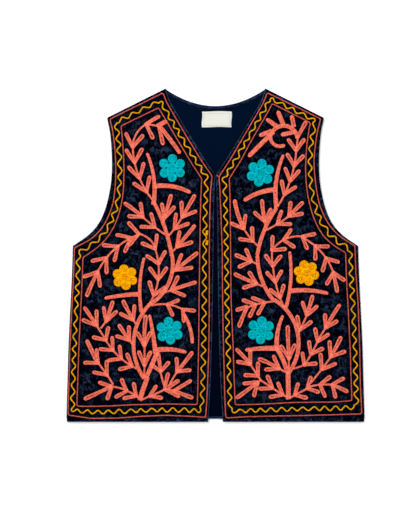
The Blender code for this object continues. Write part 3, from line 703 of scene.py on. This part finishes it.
GRID_STEP = 2.0
GRID_ACROSS = np.arange(-4.0, 282.0, GRID_STEP)
GRID_UP = np.arange(-312.0, 313.0, GRID_STEP)
grid_points = np.stack(np.meshgrid(GRID_ACROSS, GRID_UP, indexing="ij"), axis=-1).reshape(-1, 2)
seam_line = np.vstack([INNER_EDGE[:1], OUTER_EDGE])
free_line = np.vstack([INNER_EDGE, OUTER_EDGE[-1:]])
from_seam = distance_to(grid_points, seam_line)
from_free = distance_to(grid_points, free_line)


def stitch_tree(name):
    """Finds the nearest stitch of a front."""
    groups = [rows[key] for key in rows if name in key]
    points = [point for group in groups for row in group for point in spaced(row.line, 3.0)]
    tree = KDTree(len(points))
    for index, point in enumerate(points):
        tree.insert((point[0], point[1], 0.0), index)
    tree.balance()
    return tree


SEAM_SLOPE = 6.5
FULL_DEPTH = 70.0
PILLOW_START = 2.0
PILLOW_WIDTH = 11.0
PILLOW_RISE = 0.7
HEM_DROP = 0.8
HEM_SLOPE = 5.7
EDGE_START = 2.5
EDGE_GROUND = 4.0
heights, sheen_shares = {}, {}
for name in SIDES:
    tree = stitch_tree(name)
    free = np.array([tree.find((p[0], p[1], 0.0))[2] for p in grid_points])
    pillow = soft_step((free - PILLOW_START) / PILLOW_WIDTH)
    height = LINING_BASE + FRONT_WALL + FRONT_RISE * np.minimum(from_seam / SEAM_SLOPE, 1.0)
    height += FULLNESS * soft_step(from_seam / FULL_DEPTH) * soft_step(from_free / FULL_DEPTH)
    calm = soft_step(from_seam / 30.0) * soft_step(from_free / 20.0)
    raised = PILLOW_RISE * pillow * soft_step(from_free / 8.0)
    height += calm * creases_at(grid_points, CREASES[name]) + raised
    height -= HEM_DROP * np.clip((BACK_HEM - grid_points[:, 1]) / HEM_SLOPE, 0.0, 1.0)
    heights[name] = height.reshape(len(GRID_ACROSS), len(GRID_UP))
    # Painted sheen share: the velvet is painted lighter as sheen in the open ground away from the stitches, and
    # as a highlight along the edges.
    edge_highlight = 1.0 - soft_step((np.minimum(from_free, from_seam) - EDGE_START) / EDGE_GROUND)
    sheen_shares[name] = np.maximum(pillow, edge_highlight).reshape(len(GRID_ACROSS), len(GRID_UP))
    print(name, "front: top from", round(height.min(), 1), "to", round(height.max(), 1), "mm")


def read_grid(grid, across, up):
    """The grid's value at any place, between its points."""
    i = np.clip((across - GRID_ACROSS[0]) / GRID_STEP, 0.0, len(GRID_ACROSS) - 1.001)
    j = np.clip((up - GRID_UP[0]) / GRID_STEP, 0.0, len(GRID_UP) - 1.001)
    i0, j0 = i.astype(int), j.astype(int)
    s, t = i - i0, j - j0
    return (
        grid[i0, j0] * (1 - s) * (1 - t) + grid[i0 + 1, j0] * s * (1 - t)
        + grid[i0, j0 + 1] * (1 - s) * t + grid[i0 + 1, j0 + 1] * s * t
    )


# %% [markdown]
# ## Finishes
# Crushed velvet is nearly black where the pile stands and blue where it lies over, in soft patches; the blue is
# partly the pile's own tone and partly painted sheen, and a lighter velvet paints the highlight on the rolled
# edges. Cotton lining is dull and even in its weave, with painted shade towards its bottom. The yarn is soft,
# with fine fibres, small changes of tone from stitch to stitch, and painted shade between the stitches.
# Every pattern reads Object coordinates, so it stays in place on the piece.

# %% Node helpers
def screen(values):
    """A linear colour from three screen values of 0 to 255."""
    shares = [value / 255.0 for value in values]
    linear = [share / 12.92 if share <= 0.04045 else ((share + 0.055) / 1.055) ** 2.4 for share in shares]
    return (*linear, 1.0)


def grey(value):
    """A grey of one strength."""
    return (value, value, value, 1.0)


def shader_node(tree, kind, output, inputs, **settings):
    """A node with plain values or other nodes' outputs on its inputs. It gives back one of its outputs."""
    node = tree.nodes.new("ShaderNode" + kind)
    for key, value in settings.items():
        setattr(node, key, value)
    for key, value in inputs.items():
        if isinstance(value, (int, float, tuple)):
            node.inputs[key].default_value = value
        else:
            tree.links.new(value, node.inputs[key])
    return node.outputs[output]


def noise_node(tree, scale, detail=3.0, roughness=0.55, distortion=0.0, stretch=(1.0, 1.0, 1.0)):
    """Noise on Object coordinates."""
    place = shader_node(tree, "TexCoord", "Object", {})
    place = shader_node(tree, "Mapping", "Vector", {"Vector": place, "Scale": stretch})
    noise = {"Vector": place, "Scale": scale, "Detail": detail, "Roughness": roughness, "Distortion": distortion}
    return shader_node(tree, "TexNoise", "Fac", noise)


def stored_value(tree, key):
    """A value that is stored at the piece's corners."""
    return shader_node(tree, "Attribute", "Fac", {}, attribute_name=key)


def ramp_node(tree, source, stops):
    """Colours by value."""
    ramp = tree.nodes.new("ShaderNodeValToRGB")
    while len(ramp.color_ramp.elements) < len(stops):
        ramp.color_ramp.elements.new(0.5)
    for element, (place, colour) in zip(ramp.color_ramp.elements, stops):
        element.position = place
        element.color = colour
    tree.links.new(source, ramp.inputs["Fac"])
    return ramp.outputs["Color"]


def maths(tree, operation, first, second):
    """A Math node on two values or sockets."""
    return shader_node(tree, "Math", 0, {0: first, 1: second}, operation=operation)


def weighted(tree, first, share, second, other_share):
    """Two values, each times its share, added up."""
    second = maths(tree, "MULTIPLY", second, other_share)
    return maths(tree, "ADD", maths(tree, "MULTIPLY", first, share), second)


def mix_colours(tree, share, first, second, blend="MIX"):
    """A Mix node on two colours or sockets."""
    return shader_node(tree, "Mix", 2, {0: share, 6: first, 7: second}, data_type="RGBA", blend_type=blend)


def times(tree, first, second):
    """Two colours multiplied."""
    return mix_colours(tree, 1.0, first, second, "MULTIPLY")


def cloth_material(name, roughness, specular=0.0):
    """A material with hardly any gloss."""
    material, tree, shader = new_material(name, roughness)
    shader.inputs["Specular IOR Level"].default_value = specular
    return material, tree, shader


def dress(tree, shader, colour, height, distance, strength):
    """Gives a shader its colour and its small relief."""
    bump = shader_node(tree, "Bump", "Normal", {"Height": height, "Distance": distance, "Strength": strength})
    tree.links.new(bump, shader.inputs["Normal"])
    tree.links.new(colour, shader.inputs["Base Color"])


# %% Velvet
def velvet(name, dark, light, share, patch, ground=None):
    """Crushed velvet: dark, with lighter patches where the pile lies over, partly its own tone and partly
    painted sheen. share is how much of it does.

    Where the stored value named by ground is low, beside the stitches and away from the edges, the painted sheen
    is held back and the velvet stays dark.
    """
    material, tree, shader = cloth_material(name, 0.9)
    clouds = noise_node(tree, patch, 4.0, 0.62, 0.8)
    streaks = noise_node(tree, patch * 2.2, 4.0, 0.62, 1.4, (1.0, 0.45, 1.0))
    fine = noise_node(tree, 900.0, 2.0)
    lying = weighted(tree, clouds, 0.62, streaks, 0.38)
    edge = 0.5 + 0.16 * (1.0 - 2.0 * share)
    amount = ramp_node(tree, lying, [(edge - 0.07, grey(0.0)), (edge + 0.16, grey(1.0))])
    # The stored share lets the painted sheen through; beside the stitches little of it shows.
    if ground:
        sheen_gate = maths(tree, "ADD", maths(tree, "MULTIPLY", stored_value(tree, ground), 0.8), 0.2)
        amount = maths(tree, "MULTIPLY", amount, sheen_gate)
    pile = ramp_node(tree, fine, [(0.25, grey(0.72)), (0.8, grey(1.25))])
    base = mix_colours(tree, amount, screen(dark), screen(light))
    dress(tree, shader, times(tree, base, pile), weighted(tree, lying, 1.0, fine, 0.15), 1.2 * MM, 0.6)
    return material


# Each velvet: its dark pile and its lighter colour, which is partly the pile's own tone and partly painted
# sheen.
VELVET = velvet("back_velvet", (0, 2, 8), (34, 45, 70), 0.34, 90.0)
FRONT_VELVET = velvet("front_velvet", (0, 2, 8), (52, 66, 96), 0.32, 95.0, "open_ground")
# Painted highlight: a lighter velvet for the rolled edges, where the pile catches the light.
ROLL_HIGHLIGHT_VELVET = velvet("rolled_velvet", (14, 25, 42), (58, 76, 106), 0.6, 160.0)
TURNED_VELVET = velvet("turned_velvet", (4, 14, 30), (34, 50, 78), 0.5, 120.0)


# %% Cotton and label
LINING_SHADE_STOPS = [(0.0, (0.42, 0.42, 0.46, 1.0)), (1.0, grey(1.0))]


def woven(name, values, pitch, contrast, roughness, light=None):
    """A plain weave: two sets of fine threads that cross. It is darkened with painted shade where the stored
    value light is low.
    """
    material, tree, shader = cloth_material(name, roughness)
    place = shader_node(tree, "TexCoord", "Object", {})
    waves = {"Vector": place, "Scale": 1.0 / (pitch * MM) / 3.2, "Distortion": 0.6, "Detail": 1.0}
    threads = (shader_node(tree, "TexWave", "Fac", waves, bands_direction=direction) for direction in "XY")
    weave = maths(tree, "MULTIPLY", *threads)
    shade = weighted(tree, weave, contrast, noise_node(tree, 22.0, 3.0), contrast)
    red, green, blue, _ = screen(values)
    low, high = ((red * part, green * part, blue * part, 1.0) for part in (1.0 - contrast, 1.0 + contrast))
    base = ramp_node(tree, shade, [(0.0, low), (contrast * 1.6, high)])
    # Painted shade: darker where the stored value is low.
    if light:
        base = times(tree, base, ramp_node(tree, stored_value(tree, light), LINING_SHADE_STOPS))
    dress(tree, shader, base, weave, 0.15 * MM, 0.5)
    return material


LINING_COTTON = woven("lining_cotton", (2, 13, 32), 0.5, 0.2, 0.85, "open_light")
LABEL_WEAVE = woven("label_weave", (198, 198, 190), 0.5, 0.06, 0.8)

# %% Yarn
WEAR_STOPS = [(0.4, grey(0.72)), (0.58, grey(1.05))]
LOOP_SHADE_STOPS = [(0.45, grey(0.0)), (0.95, grey(1.0))]
FLUFF_STOPS = [(0.3, grey(0.86)), (0.7, grey(1.08))]


def yarn(name, *colours):
    """Soft wool yarn: its colour, a darker one painted as shade low on the loops and between the stitches, a
    light one on some, and worn patches.
    """
    colour, painted_shade, light = (screen(values) for values in colours)
    material, tree, shader = cloth_material(name, 0.9, 0.01)
    for key, value in (("Weight", 0.02), ("Roughness", 0.4), ("Tint", colour)):
        shader.inputs["Sheen " + key].default_value = value
    fibres = noise_node(tree, 1400.0, 2.0)
    varied = mix_colours(tree, stored_value(tree, "tone"), colour, light)
    worn = times(tree, varied, ramp_node(tree, noise_node(tree, 210.0, 3.0), WEAR_STOPS))
    # Painted shade: the low parts of each loop and the bed under it take the darker colour.
    shaded = mix_colours(tree, ramp_node(tree, stored_value(tree, "depth"), LOOP_SHADE_STOPS), painted_shade, worn)
    dress(tree, shader, times(tree, shaded, ramp_node(tree, fibres, FLUFF_STOPS)), fibres, 0.25 * MM, 0.5)
    return material


# Each yarn: its colour, its painted shade, and a lighter tone for some stitches.
CORAL = yarn("coral_yarn", (250, 118, 94), (166, 62, 50), (255, 138, 114))
BORDER_CORAL = yarn("coral_border_yarn", (220, 98, 83), (112, 40, 36), (236, 114, 98))
TURQUOISE = yarn("turquoise_yarn", (0, 177, 189), (0, 108, 120), (2, 195, 205))
YELLOW = yarn("yellow_yarn", (248, 166, 0), (182, 108, 0), (255, 182, 4))
WAVE_YELLOW = yarn("yellow_wave_yarn", (248, 174, 2), (156, 102, 0), (255, 190, 8))
print("finishes:", len(bpy.data.materials))


# %% [markdown]
# ## Cloth
# A garment piece is a sheet with four sides: two edges, a top and a bottom. A plain grid is stretched onto
# those four sides, so its squares follow the cut. Its heights come from the grid of heights, and Solidify
# gives it the thickness of the cloth. A grid that follows the cut bends more evenly than a filled outline.

# %% Stretching a grid onto a cut
def stretched_sheet(left, right, top, bottom):
    """A grid of points between four edges, as rows from the top to the bottom."""
    down = np.linspace(0.0, 1.0, len(left))[:, None, None]
    over = np.linspace(0.0, 1.0, len(top))[None, :, None]
    across = left[:, None] * (1 - over) + right[:, None] * over
    updown = top[None] * (1 - down) + bottom[None] * down
    corners = (
        left[0] * (1 - over) * (1 - down) + right[0] * over * (1 - down)
        + left[-1] * (1 - over) * down + right[-1] * over * down
    )
    return across + updown - corners


def sheet_form(points):
    """A bmesh grid with its corners at the given points, facing up."""
    rows_count, columns = points.shape[:2]
    form = bmesh.new()
    bmesh.ops.create_grid(form, x_segments=columns - 1, y_segments=rows_count - 1, size=1.0)
    for vert, place in zip(form.verts, points.reshape(-1, 3)):
        vert.co = Vector(place) * MM
    form.normal_update()
    if sum(face.normal.z for face in form.faces) < 0.0:
        bmesh.ops.reverse_faces(form, faces=form.faces)
    for face in form.faces:
        face.smooth = True
    return form


def thicken(piece, thickness):
    """Gives a sheet its wall, below the surface that was made."""
    wall = piece.modifiers.new("Wall", "SOLIDIFY")
    wall.thickness = thickness * MM
    wall.offset = -1.0
    wall.use_quality_normals = True


def store(piece, key, value_at):
    """Stores a value at every corner of a piece. value_at gives it from the distances across and up."""
    places = np.array([vert.co for vert in piece.data.vertices]) / MM
    values = piece.data.attributes.new(key, "FLOAT", "POINT")
    values.data.foreach_set("value", value_at(places[:, 0], places[:, 1]).astype(np.float32))


def settle(piece, node=None):
    """Ties a piece to the body and hides the node whose place it takes."""
    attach(piece, "root")
    if node:
        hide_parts(node)
    print(piece.name, "faces:", len(piece.data.polygons))
    return piece


# %% Velvet fronts
FRONT_COLUMNS = 64
FRONT_CLOTH = 1.9
even = np.linspace(0.0, 1.0, FRONT_COLUMNS)
shares = (soft_step(even) * 0.35 + even * 0.65)[None, :, None]
flat = INNER_EDGE[:, None] * (1 - shares) + OUTER_EDGE[:, None] * shares
front_pieces = {}
for name, side in SIDES.items():
    top = read_grid(heights[name], flat[..., 0], flat[..., 1])
    points = np.dstack([side * flat[..., 0], flat[..., 1], top])
    front = link_form(sheet_form(points), "velvet_front_" + name, FRONT_VELVET)
    # The front stores its painted sheen share for its velvet.
    store(front, "open_ground", lambda across, up: read_grid(sheen_shares[name], np.abs(across), up))
    thicken(front, FRONT_CLOTH)
    front_pieces[name] = settle(front, "front_" + name)

# %% Back and lining
NECK_POINTS = 16
SHOULDER_POINTS = 14
BACK_ROWS = 90
NECK_HALF = 91.6
NECK_DEPTH = 31.0


def neck_curve(shares):
    """The back neck, at shares of its half width."""
    return np.stack([NECK_HALF * shares, TOP - NECK_DEPTH + NECK_DEPTH * shares ** 2], axis=1)


def back_sheet(inset_side, inset_neck, inset_shoulder, hem, base, creases):
    """Points of a sheet over the whole back, its top at the base and the creases."""
    neck = neck_curve(np.linspace(0.0, 1.0, NECK_POINTS)) - (0.0, inset_neck)
    edge = OUTER_EDGE.copy()
    edge[:, 0] -= inset_side
    edge[0, 1] -= inset_shoulder
    edge = edge[edge[:, 1] > hem]
    edge = np.vstack([edge, [edge[-1][0], hem]])
    slope = np.linspace(neck[-1] - (0.0, inset_shoulder), edge[0], SHOULDER_POINTS + 1)[1:]
    top = np.vstack([neck, slope])
    edge = even_points(edge, BACK_ROWS)
    centre = np.stack([np.zeros(BACK_ROWS), np.linspace(top[0][1], hem, BACK_ROWS)], axis=1)
    bottom = np.stack([np.linspace(0.0, edge[-1][0], len(top)), np.full(len(top), hem)], axis=1)
    half = stretched_sheet(centre, edge, top, bottom)
    whole = np.concatenate([half[:, :0:-1] * (-1.0, 1.0), half], axis=1)
    tall = base + creases_at(whole.reshape(-1, 2), creases)
    return np.dstack([whole, tall.reshape(whole.shape[:2])])


BACK_WALL = 0.95
LINING_WALL = 0.9
LINING_TOP = 2.4
LINING_HEM = -295.2
BACK_CREASES = [Crease(*row) for row in (
    (-120, 200, -60, 20, 160, 14, 0.4),
    (90, 150, -110, -25, 150, 12, 0.35),
    (-30, 40, -80, 30, 180, 16, 0.4),
    (160, -40, -95, 20, 150, 13, 0.4),
    (-180, -90, -75, -20, 140, 12, 0.35),
    (40, -170, -50, 25, 120, 13, 0.3),
)]
LINING_CREASES = [Crease(*row) for row in (
    (-40, 262, -75, 20, 90, 6, 0.5),
    (20, 225, -110, 25, 80, 7, -0.4),
    (45, 255, -60, -30, 70, 5, 0.45),
    (2, -180, -90, 4, 100, 5, 0.3),
)]

back_points = back_sheet(0.0, 0.0, 0.0, BACK_HEM, BACK_WALL + 0.05, BACK_CREASES)
back = link_form(sheet_form(back_points), "velvet_back", VELVET)
thicken(back, BACK_WALL)
settle(back, "back_panel")
lining_points = back_sheet(7.5, 5.9, 7.0, LINING_HEM, LINING_TOP, LINING_CREASES)
lining = link_form(sheet_form(lining_points), "cotton_lining", LINING_COTTON)
# Painted shade: the lining is darker towards its bottom, where the fronts shade it.
store(lining, "open_light", lambda across, up: soft_step((up - 110.0) / 80.0))
thicken(lining, LINING_WALL)
settle(lining, "back_lining")

# %% Neck facing and hem turning
STRIP_STEPS = 6
STRIP_BASE = 1.9
STRIP_WALL = 0.7


def turned_strip(name, line, width, tall, node):
    """A narrow strip of velvet below a line, rounded over its width."""
    shares = np.linspace(0.0, 1.0, STRIP_STEPS + 1)
    flat = line[None] - left_of(headings(line))[None] * (width * shares)[:, None, None]
    rise = STRIP_BASE + tall * np.sqrt(np.clip(1.0 - (1.6 * np.abs(shares - 0.5)) ** 2.0, 0.0, 1.0))
    points = np.dstack([flat, np.broadcast_to(rise[:, None], flat.shape[:2])])
    strip = link_form(sheet_form(points), name, TURNED_VELVET)
    thicken(strip, STRIP_WALL)
    return settle(strip, node)


neck_line = neck_curve(np.linspace(-1.0, 1.0, 61))
hem_line = np.stack([np.linspace(-265.7, 265.7, 80), np.full(80, BACK_HEM + 4.6)], axis=1)
facing = turned_strip("neck_facing", neck_line, 5.6, 0.7, "back_neck_facing")
turning = turned_strip("hem_turning", hem_line, 4.6, 0.5, "back_hem_turning")

# %% [markdown]
# ## Label
# A small bare woven label is sewn under the back neck. Its edges are a little uneven and one corner lifts. A
# machine sews it down with small straight stitches just inside its edge. Each is a thin stretched bead.

# %% Label
LABEL_MIDDLE = (2.4, 250.4)
LABEL_SIZE = (54.4, 29.0)
LABEL_TOP = 3.25
LABEL_WALL = 0.45
over, down = np.meshgrid(np.linspace(-0.5, 0.5, 28), np.linspace(0.5, -0.5, 16))
label_points = np.dstack([
    LABEL_MIDDLE[0] + LABEL_SIZE[0] * over + 0.5 * np.sin(7.0 * down) + 0.7 * down,
    LABEL_MIDDLE[1] + LABEL_SIZE[1] * down + 0.45 * np.sin(6.0 * over + 1.0),
    LABEL_TOP + 0.25 * np.sin(5.0 * over + 0.5) * np.cos(4.0 * down) + 0.5 * np.clip(over - 0.3, 0, 1),
])
label = link_form(sheet_form(label_points), "bare_label", LABEL_WEAVE)
thicken(label, LABEL_WALL)
settle(label, "label")

# %% Label stitches
LABEL_THREAD = woven("label_thread", (150, 152, 152), 0.4, 0.05, 0.9)
STITCH_INSET = 3.6
STITCH_PITCH = 2.6
STITCH_UP = 3.75
BEAD = Vector((0.95, 0.24, 0.2)) * MM
half = np.array(LABEL_SIZE) / 2 - STITCH_INSET
square = np.array([(-1, -1), (1, -1), (1, 1), (-1, 1), (-1, -1)]) * half + LABEL_MIDDLE
form = bmesh.new()
for start, end in zip(square[:-1], square[1:]):
    count = round(np.linalg.norm(end - start) / STITCH_PITCH)
    turned = Matrix.Rotation(math.atan2(*(end - start)[::-1]), 3, "Z")
    for step in range(count):
        place = start + (end - start) * (step + 0.5) / count
        shape = Matrix.LocRotScale(Vector((place[0], place[1], STITCH_UP)) * MM, turned, BEAD)
        bmesh.ops.create_uvsphere(form, u_segments=6, v_segments=4, radius=1.0, matrix=shape)
settle(link_form(form, "label_stitches", LABEL_THREAD))

# %% [markdown]
# ## Chain stitch
# In chain stitch each loop of yarn comes up inside the one before it, so a row looks like a plait. A loop is
# two soft strands that part and meet again, on a flat bed. It is modelled once, from two spheres of few
# faces, and repeated along every row with arrays. A modifier for each row would be slow. Every corner of
# every loop reads the height of the cloth below it.

# %% One loop
def loop_shape():
    """A loop's corners (along 0 to 1, across in row widths, up in millimetres), triangles and depths."""
    form = bmesh.new()
    # The depths place the painted shade: the low parts of each strand, and the bed, are darker.
    depths = []
    for bend in (-1.0, 1.0):
        made = bmesh.ops.create_uvsphere(form, u_segments=5, v_segments=4, radius=1.0)["verts"]
        for vert in made:
            across, height, along = vert.co.x, vert.co.y, vert.co.z
            reach = 0.5 + 0.5 * along
            vert.co = Vector((
                -0.16 + 1.46 * reach,
                bend * 0.275 * math.sin(math.pi * min(1.0, reach * 1.02)) ** 0.8 + 0.225 * across,
                0.95 + 0.62 * height + 0.22 * (1.0 - reach),
            ))
            depths.append(0.75 + 0.25 * height)
    made = bmesh.ops.create_cube(form, size=1.0)["verts"]
    for vert in made:
        vert.co = Vector((0.5 + vert.co.x * 1.1, vert.co.y * 0.86, 0.35 + 0.7 * vert.co.z))
        depths.append(0.0)
    bmesh.ops.triangulate(form, faces=form.faces)
    bmesh.ops.recalc_face_normals(form, faces=form.faces)
    corners = np.array([vert.co for vert in form.verts])
    triangles = np.array([[vert.index for vert in face.verts] for face in form.faces])
    form.free()
    return corners, triangles, np.array(depths)


LOOP_CORNERS, LOOP_TRIANGLES, LOOP_DEPTHS = loop_shape()
print("one loop:", len(LOOP_CORNERS), "corners,", len(LOOP_TRIANGLES), "triangles")


# %% Rows of loops
def mesh_of(name, corners, triangles, material, values):
    """A smooth mesh from arrays, with named values at its corners."""
    mesh = bpy.data.meshes.new(name)
    mesh.vertices.add(len(corners))
    mesh.vertices.foreach_set("co", corners.astype(np.float32).ravel())
    mesh.loops.add(triangles.size)
    mesh.loops.foreach_set("vertex_index", triangles.astype(np.int32).ravel())
    mesh.polygons.add(len(triangles))
    mesh.polygons.foreach_set("loop_start", np.arange(0, triangles.size, 3, dtype=np.int32))
    mesh.polygons.foreach_set("use_smooth", np.ones(len(triangles), bool))
    mesh.update()
    mesh.validate()
    for key, value in values.items():
        mesh.attributes.new(key, "FLOAT", "POINT").data.foreach_set("value", value.astype(np.float32))
    return link_mesh(mesh, name, material)


def stitched(key, front, material, rng):
    """A piece of chain stitch: every row of the named group, on its front."""
    starts, ends, widths, lifts = [], [], [], []
    for row in rows[key]:
        line = spaced(row.line, row.stitch)
        line = line + rng.normal(0.0, 0.1, line.shape)
        starts.append(line[:-1])
        ends.append(line[1:])
        widths.append(np.full(len(line) - 1, row.width) * rng.uniform(0.94, 1.06, len(line) - 1))
        lifts.append(np.full(len(line) - 1, row.lift) + rng.uniform(-0.08, 0.08, len(line) - 1))
    starts, ends = (np.vstack(lines) * (SIDES[front], 1.0) for lines in (starts, ends))
    widths, lifts = np.concatenate(widths), np.concatenate(lifts)
    along = ends - starts
    sideways = left_of(along) / np.linalg.norm(along, axis=1)[:, None]
    flat = (
        starts[:, None] + along[:, None] * LOOP_CORNERS[None, :, 0:1]
        + sideways[:, None] * (LOOP_CORNERS[None, :, 1:2] * widths[:, None, None])
    )
    ground = read_grid(heights[front], np.abs(flat[..., 0]), flat[..., 1])
    tall = ground + LOOP_CORNERS[None, :, 2] + lifts[:, None]
    corners = np.dstack([flat, tall]).reshape(-1, 3) * MM
    first = np.arange(len(starts))[:, None, None] * len(LOOP_CORNERS)
    triangles = (LOOP_TRIANGLES[None] + first).reshape(-1, 3)
    tones = np.repeat(rng.uniform(0.0, 1.0, len(starts)), len(LOOP_CORNERS))
    depths = np.tile(LOOP_DEPTHS, len(starts))
    return mesh_of("stitched_" + key, corners, triangles, material, {"tone": tones, "depth": depths})


# %% Stitching both fronts
STITCH_SEEDS = {"left": 31, "right": 32}
FLOWER_YARNS = {"turquoise_wool": TURQUOISE, "yellow_wool": YELLOW}
stitch_pieces = {name: [] for name in SIDES}
for name in SIDES:
    rng = np.random.default_rng(STITCH_SEEDS[name])
    jobs = [
        ("stems_" + name, CORAL, "coral_wool", "sprigs_" + name),
        ("twigs_" + name, CORAL, "coral_wool", "sprigs_" + name),
        ("border_" + name, BORDER_CORAL, "coral_wool", None),
        ("wave_" + name, WAVE_YELLOW, "yellow_wool", None),
    ]
    for flower in FLOWERS[name]:
        node = "flower_" + name + "_" + flower.name
        jobs.append((node, FLOWER_YARNS[flower.slot], flower.slot, node))
    for key, material, slot, node in jobs:
        stitch_pieces[name].append(settle(stitched(key, name, material, rng), node))

# %% [markdown]
# ## Rolled edges
# The neck, the centre front, the armholes and the hem are turned in, so their edge is a soft roll where the pile
# catches the light; that light is painted into the roll's velvet as a lighter colour, a painted highlight. At
# the shoulders and sides the back and the front meet in a seam. Each is a round tube along the edge, made from a
# curve with a bevel.

# %% Rolls
ROLL_RADIUS = 1.05
ROLL_INSET = ((0.0, 0.85), (1.0, 0.85))
ROLL_DROP = 0.95
FACING_SEAM = 5.9


def lifted(line, side, tall):
    """Points of a line on one side of the vest, with their height."""
    return np.column_stack([side * line[:, 0], line[:, 1], np.broadcast_to(tall, len(line))])


def roll(name, points, radius, material):
    """A soft tube along points in millimetres."""
    curve = bpy.data.curves.new(name, "CURVE")
    curve.dimensions = "3D"
    curve.bevel_depth = radius * MM
    curve.bevel_resolution = 3
    curve.use_fill_caps = True
    spline = curve.splines.new("POLY")
    spline.points.add(len(points) - 1)
    for knot, point in zip(spline.points, points):
        knot.co = (point[0] * MM, point[1] * MM, point[2] * MM, 1.0)
    source = bpy.data.objects.new(name + "_path", curve)
    bpy.context.scene.collection.objects.link(source)
    bpy.context.view_layer.update()
    mesh = bpy.data.meshes.new_from_object(source.evaluated_get(bpy.context.evaluated_depsgraph_get()))
    bpy.data.objects.remove(source, do_unlink=True)
    form = bmesh.new()
    form.from_mesh(mesh)
    bpy.data.meshes.remove(mesh)
    bmesh.ops.remove_doubles(form, verts=form.verts, dist=0.00001)
    bmesh.ops.recalc_face_normals(form, faces=form.faces)
    for face in form.faces:
        face.smooth = True
    settle(link_form(form, name, material))


for name, side in SIDES.items():
    cut = front_edges()
    edges = {edge: moved_inwards(line, ROLL_INSET)[1:-1] for edge, line in cut.items()}
    free = np.vstack([edges["neck"], edges["centre"], edges["hem"]])
    arm = edges["armhole"]
    for piece_name, line in (("rolled_front_edge_", free), ("rolled_armhole_", arm)):
        tall = read_grid(heights[name], line[:, 0], line[:, 1]) - ROLL_DROP
        roll(piece_name + name, lifted(line, side, tall), ROLL_RADIUS, ROLL_HIGHLIGHT_VELVET)
    roll("back_armhole_" + name, lifted(arm, side, 0.65), 0.62, ROLL_HIGHLIGHT_VELVET)
    for seam in ("side", "shoulder"):
        line = cut[seam]
        line = line[line[:, 1] > BACK_HEM] if seam == "side" else line
        roll(seam + "_seam_" + name, lifted(line - (0.9, 0.0), side, 1.75), 1.7, VELVET)

facing_seam = neck_line - left_of(headings(neck_line)) * FACING_SEAM
roll("neck_facing_seam", lifted(facing_seam, 1.0, 2.75), 0.45, VELVET)

# %% [markdown]
# ## A loop over the fronts that changes nothing

# %% Sheets
for name, front in front_pieces.items():
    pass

# %% Faces in all
meshes = [thing.data for thing in bpy.data.objects if thing.type == "MESH"]
print("faces in all:", sum(len(mesh.polygons) for mesh in meshes))
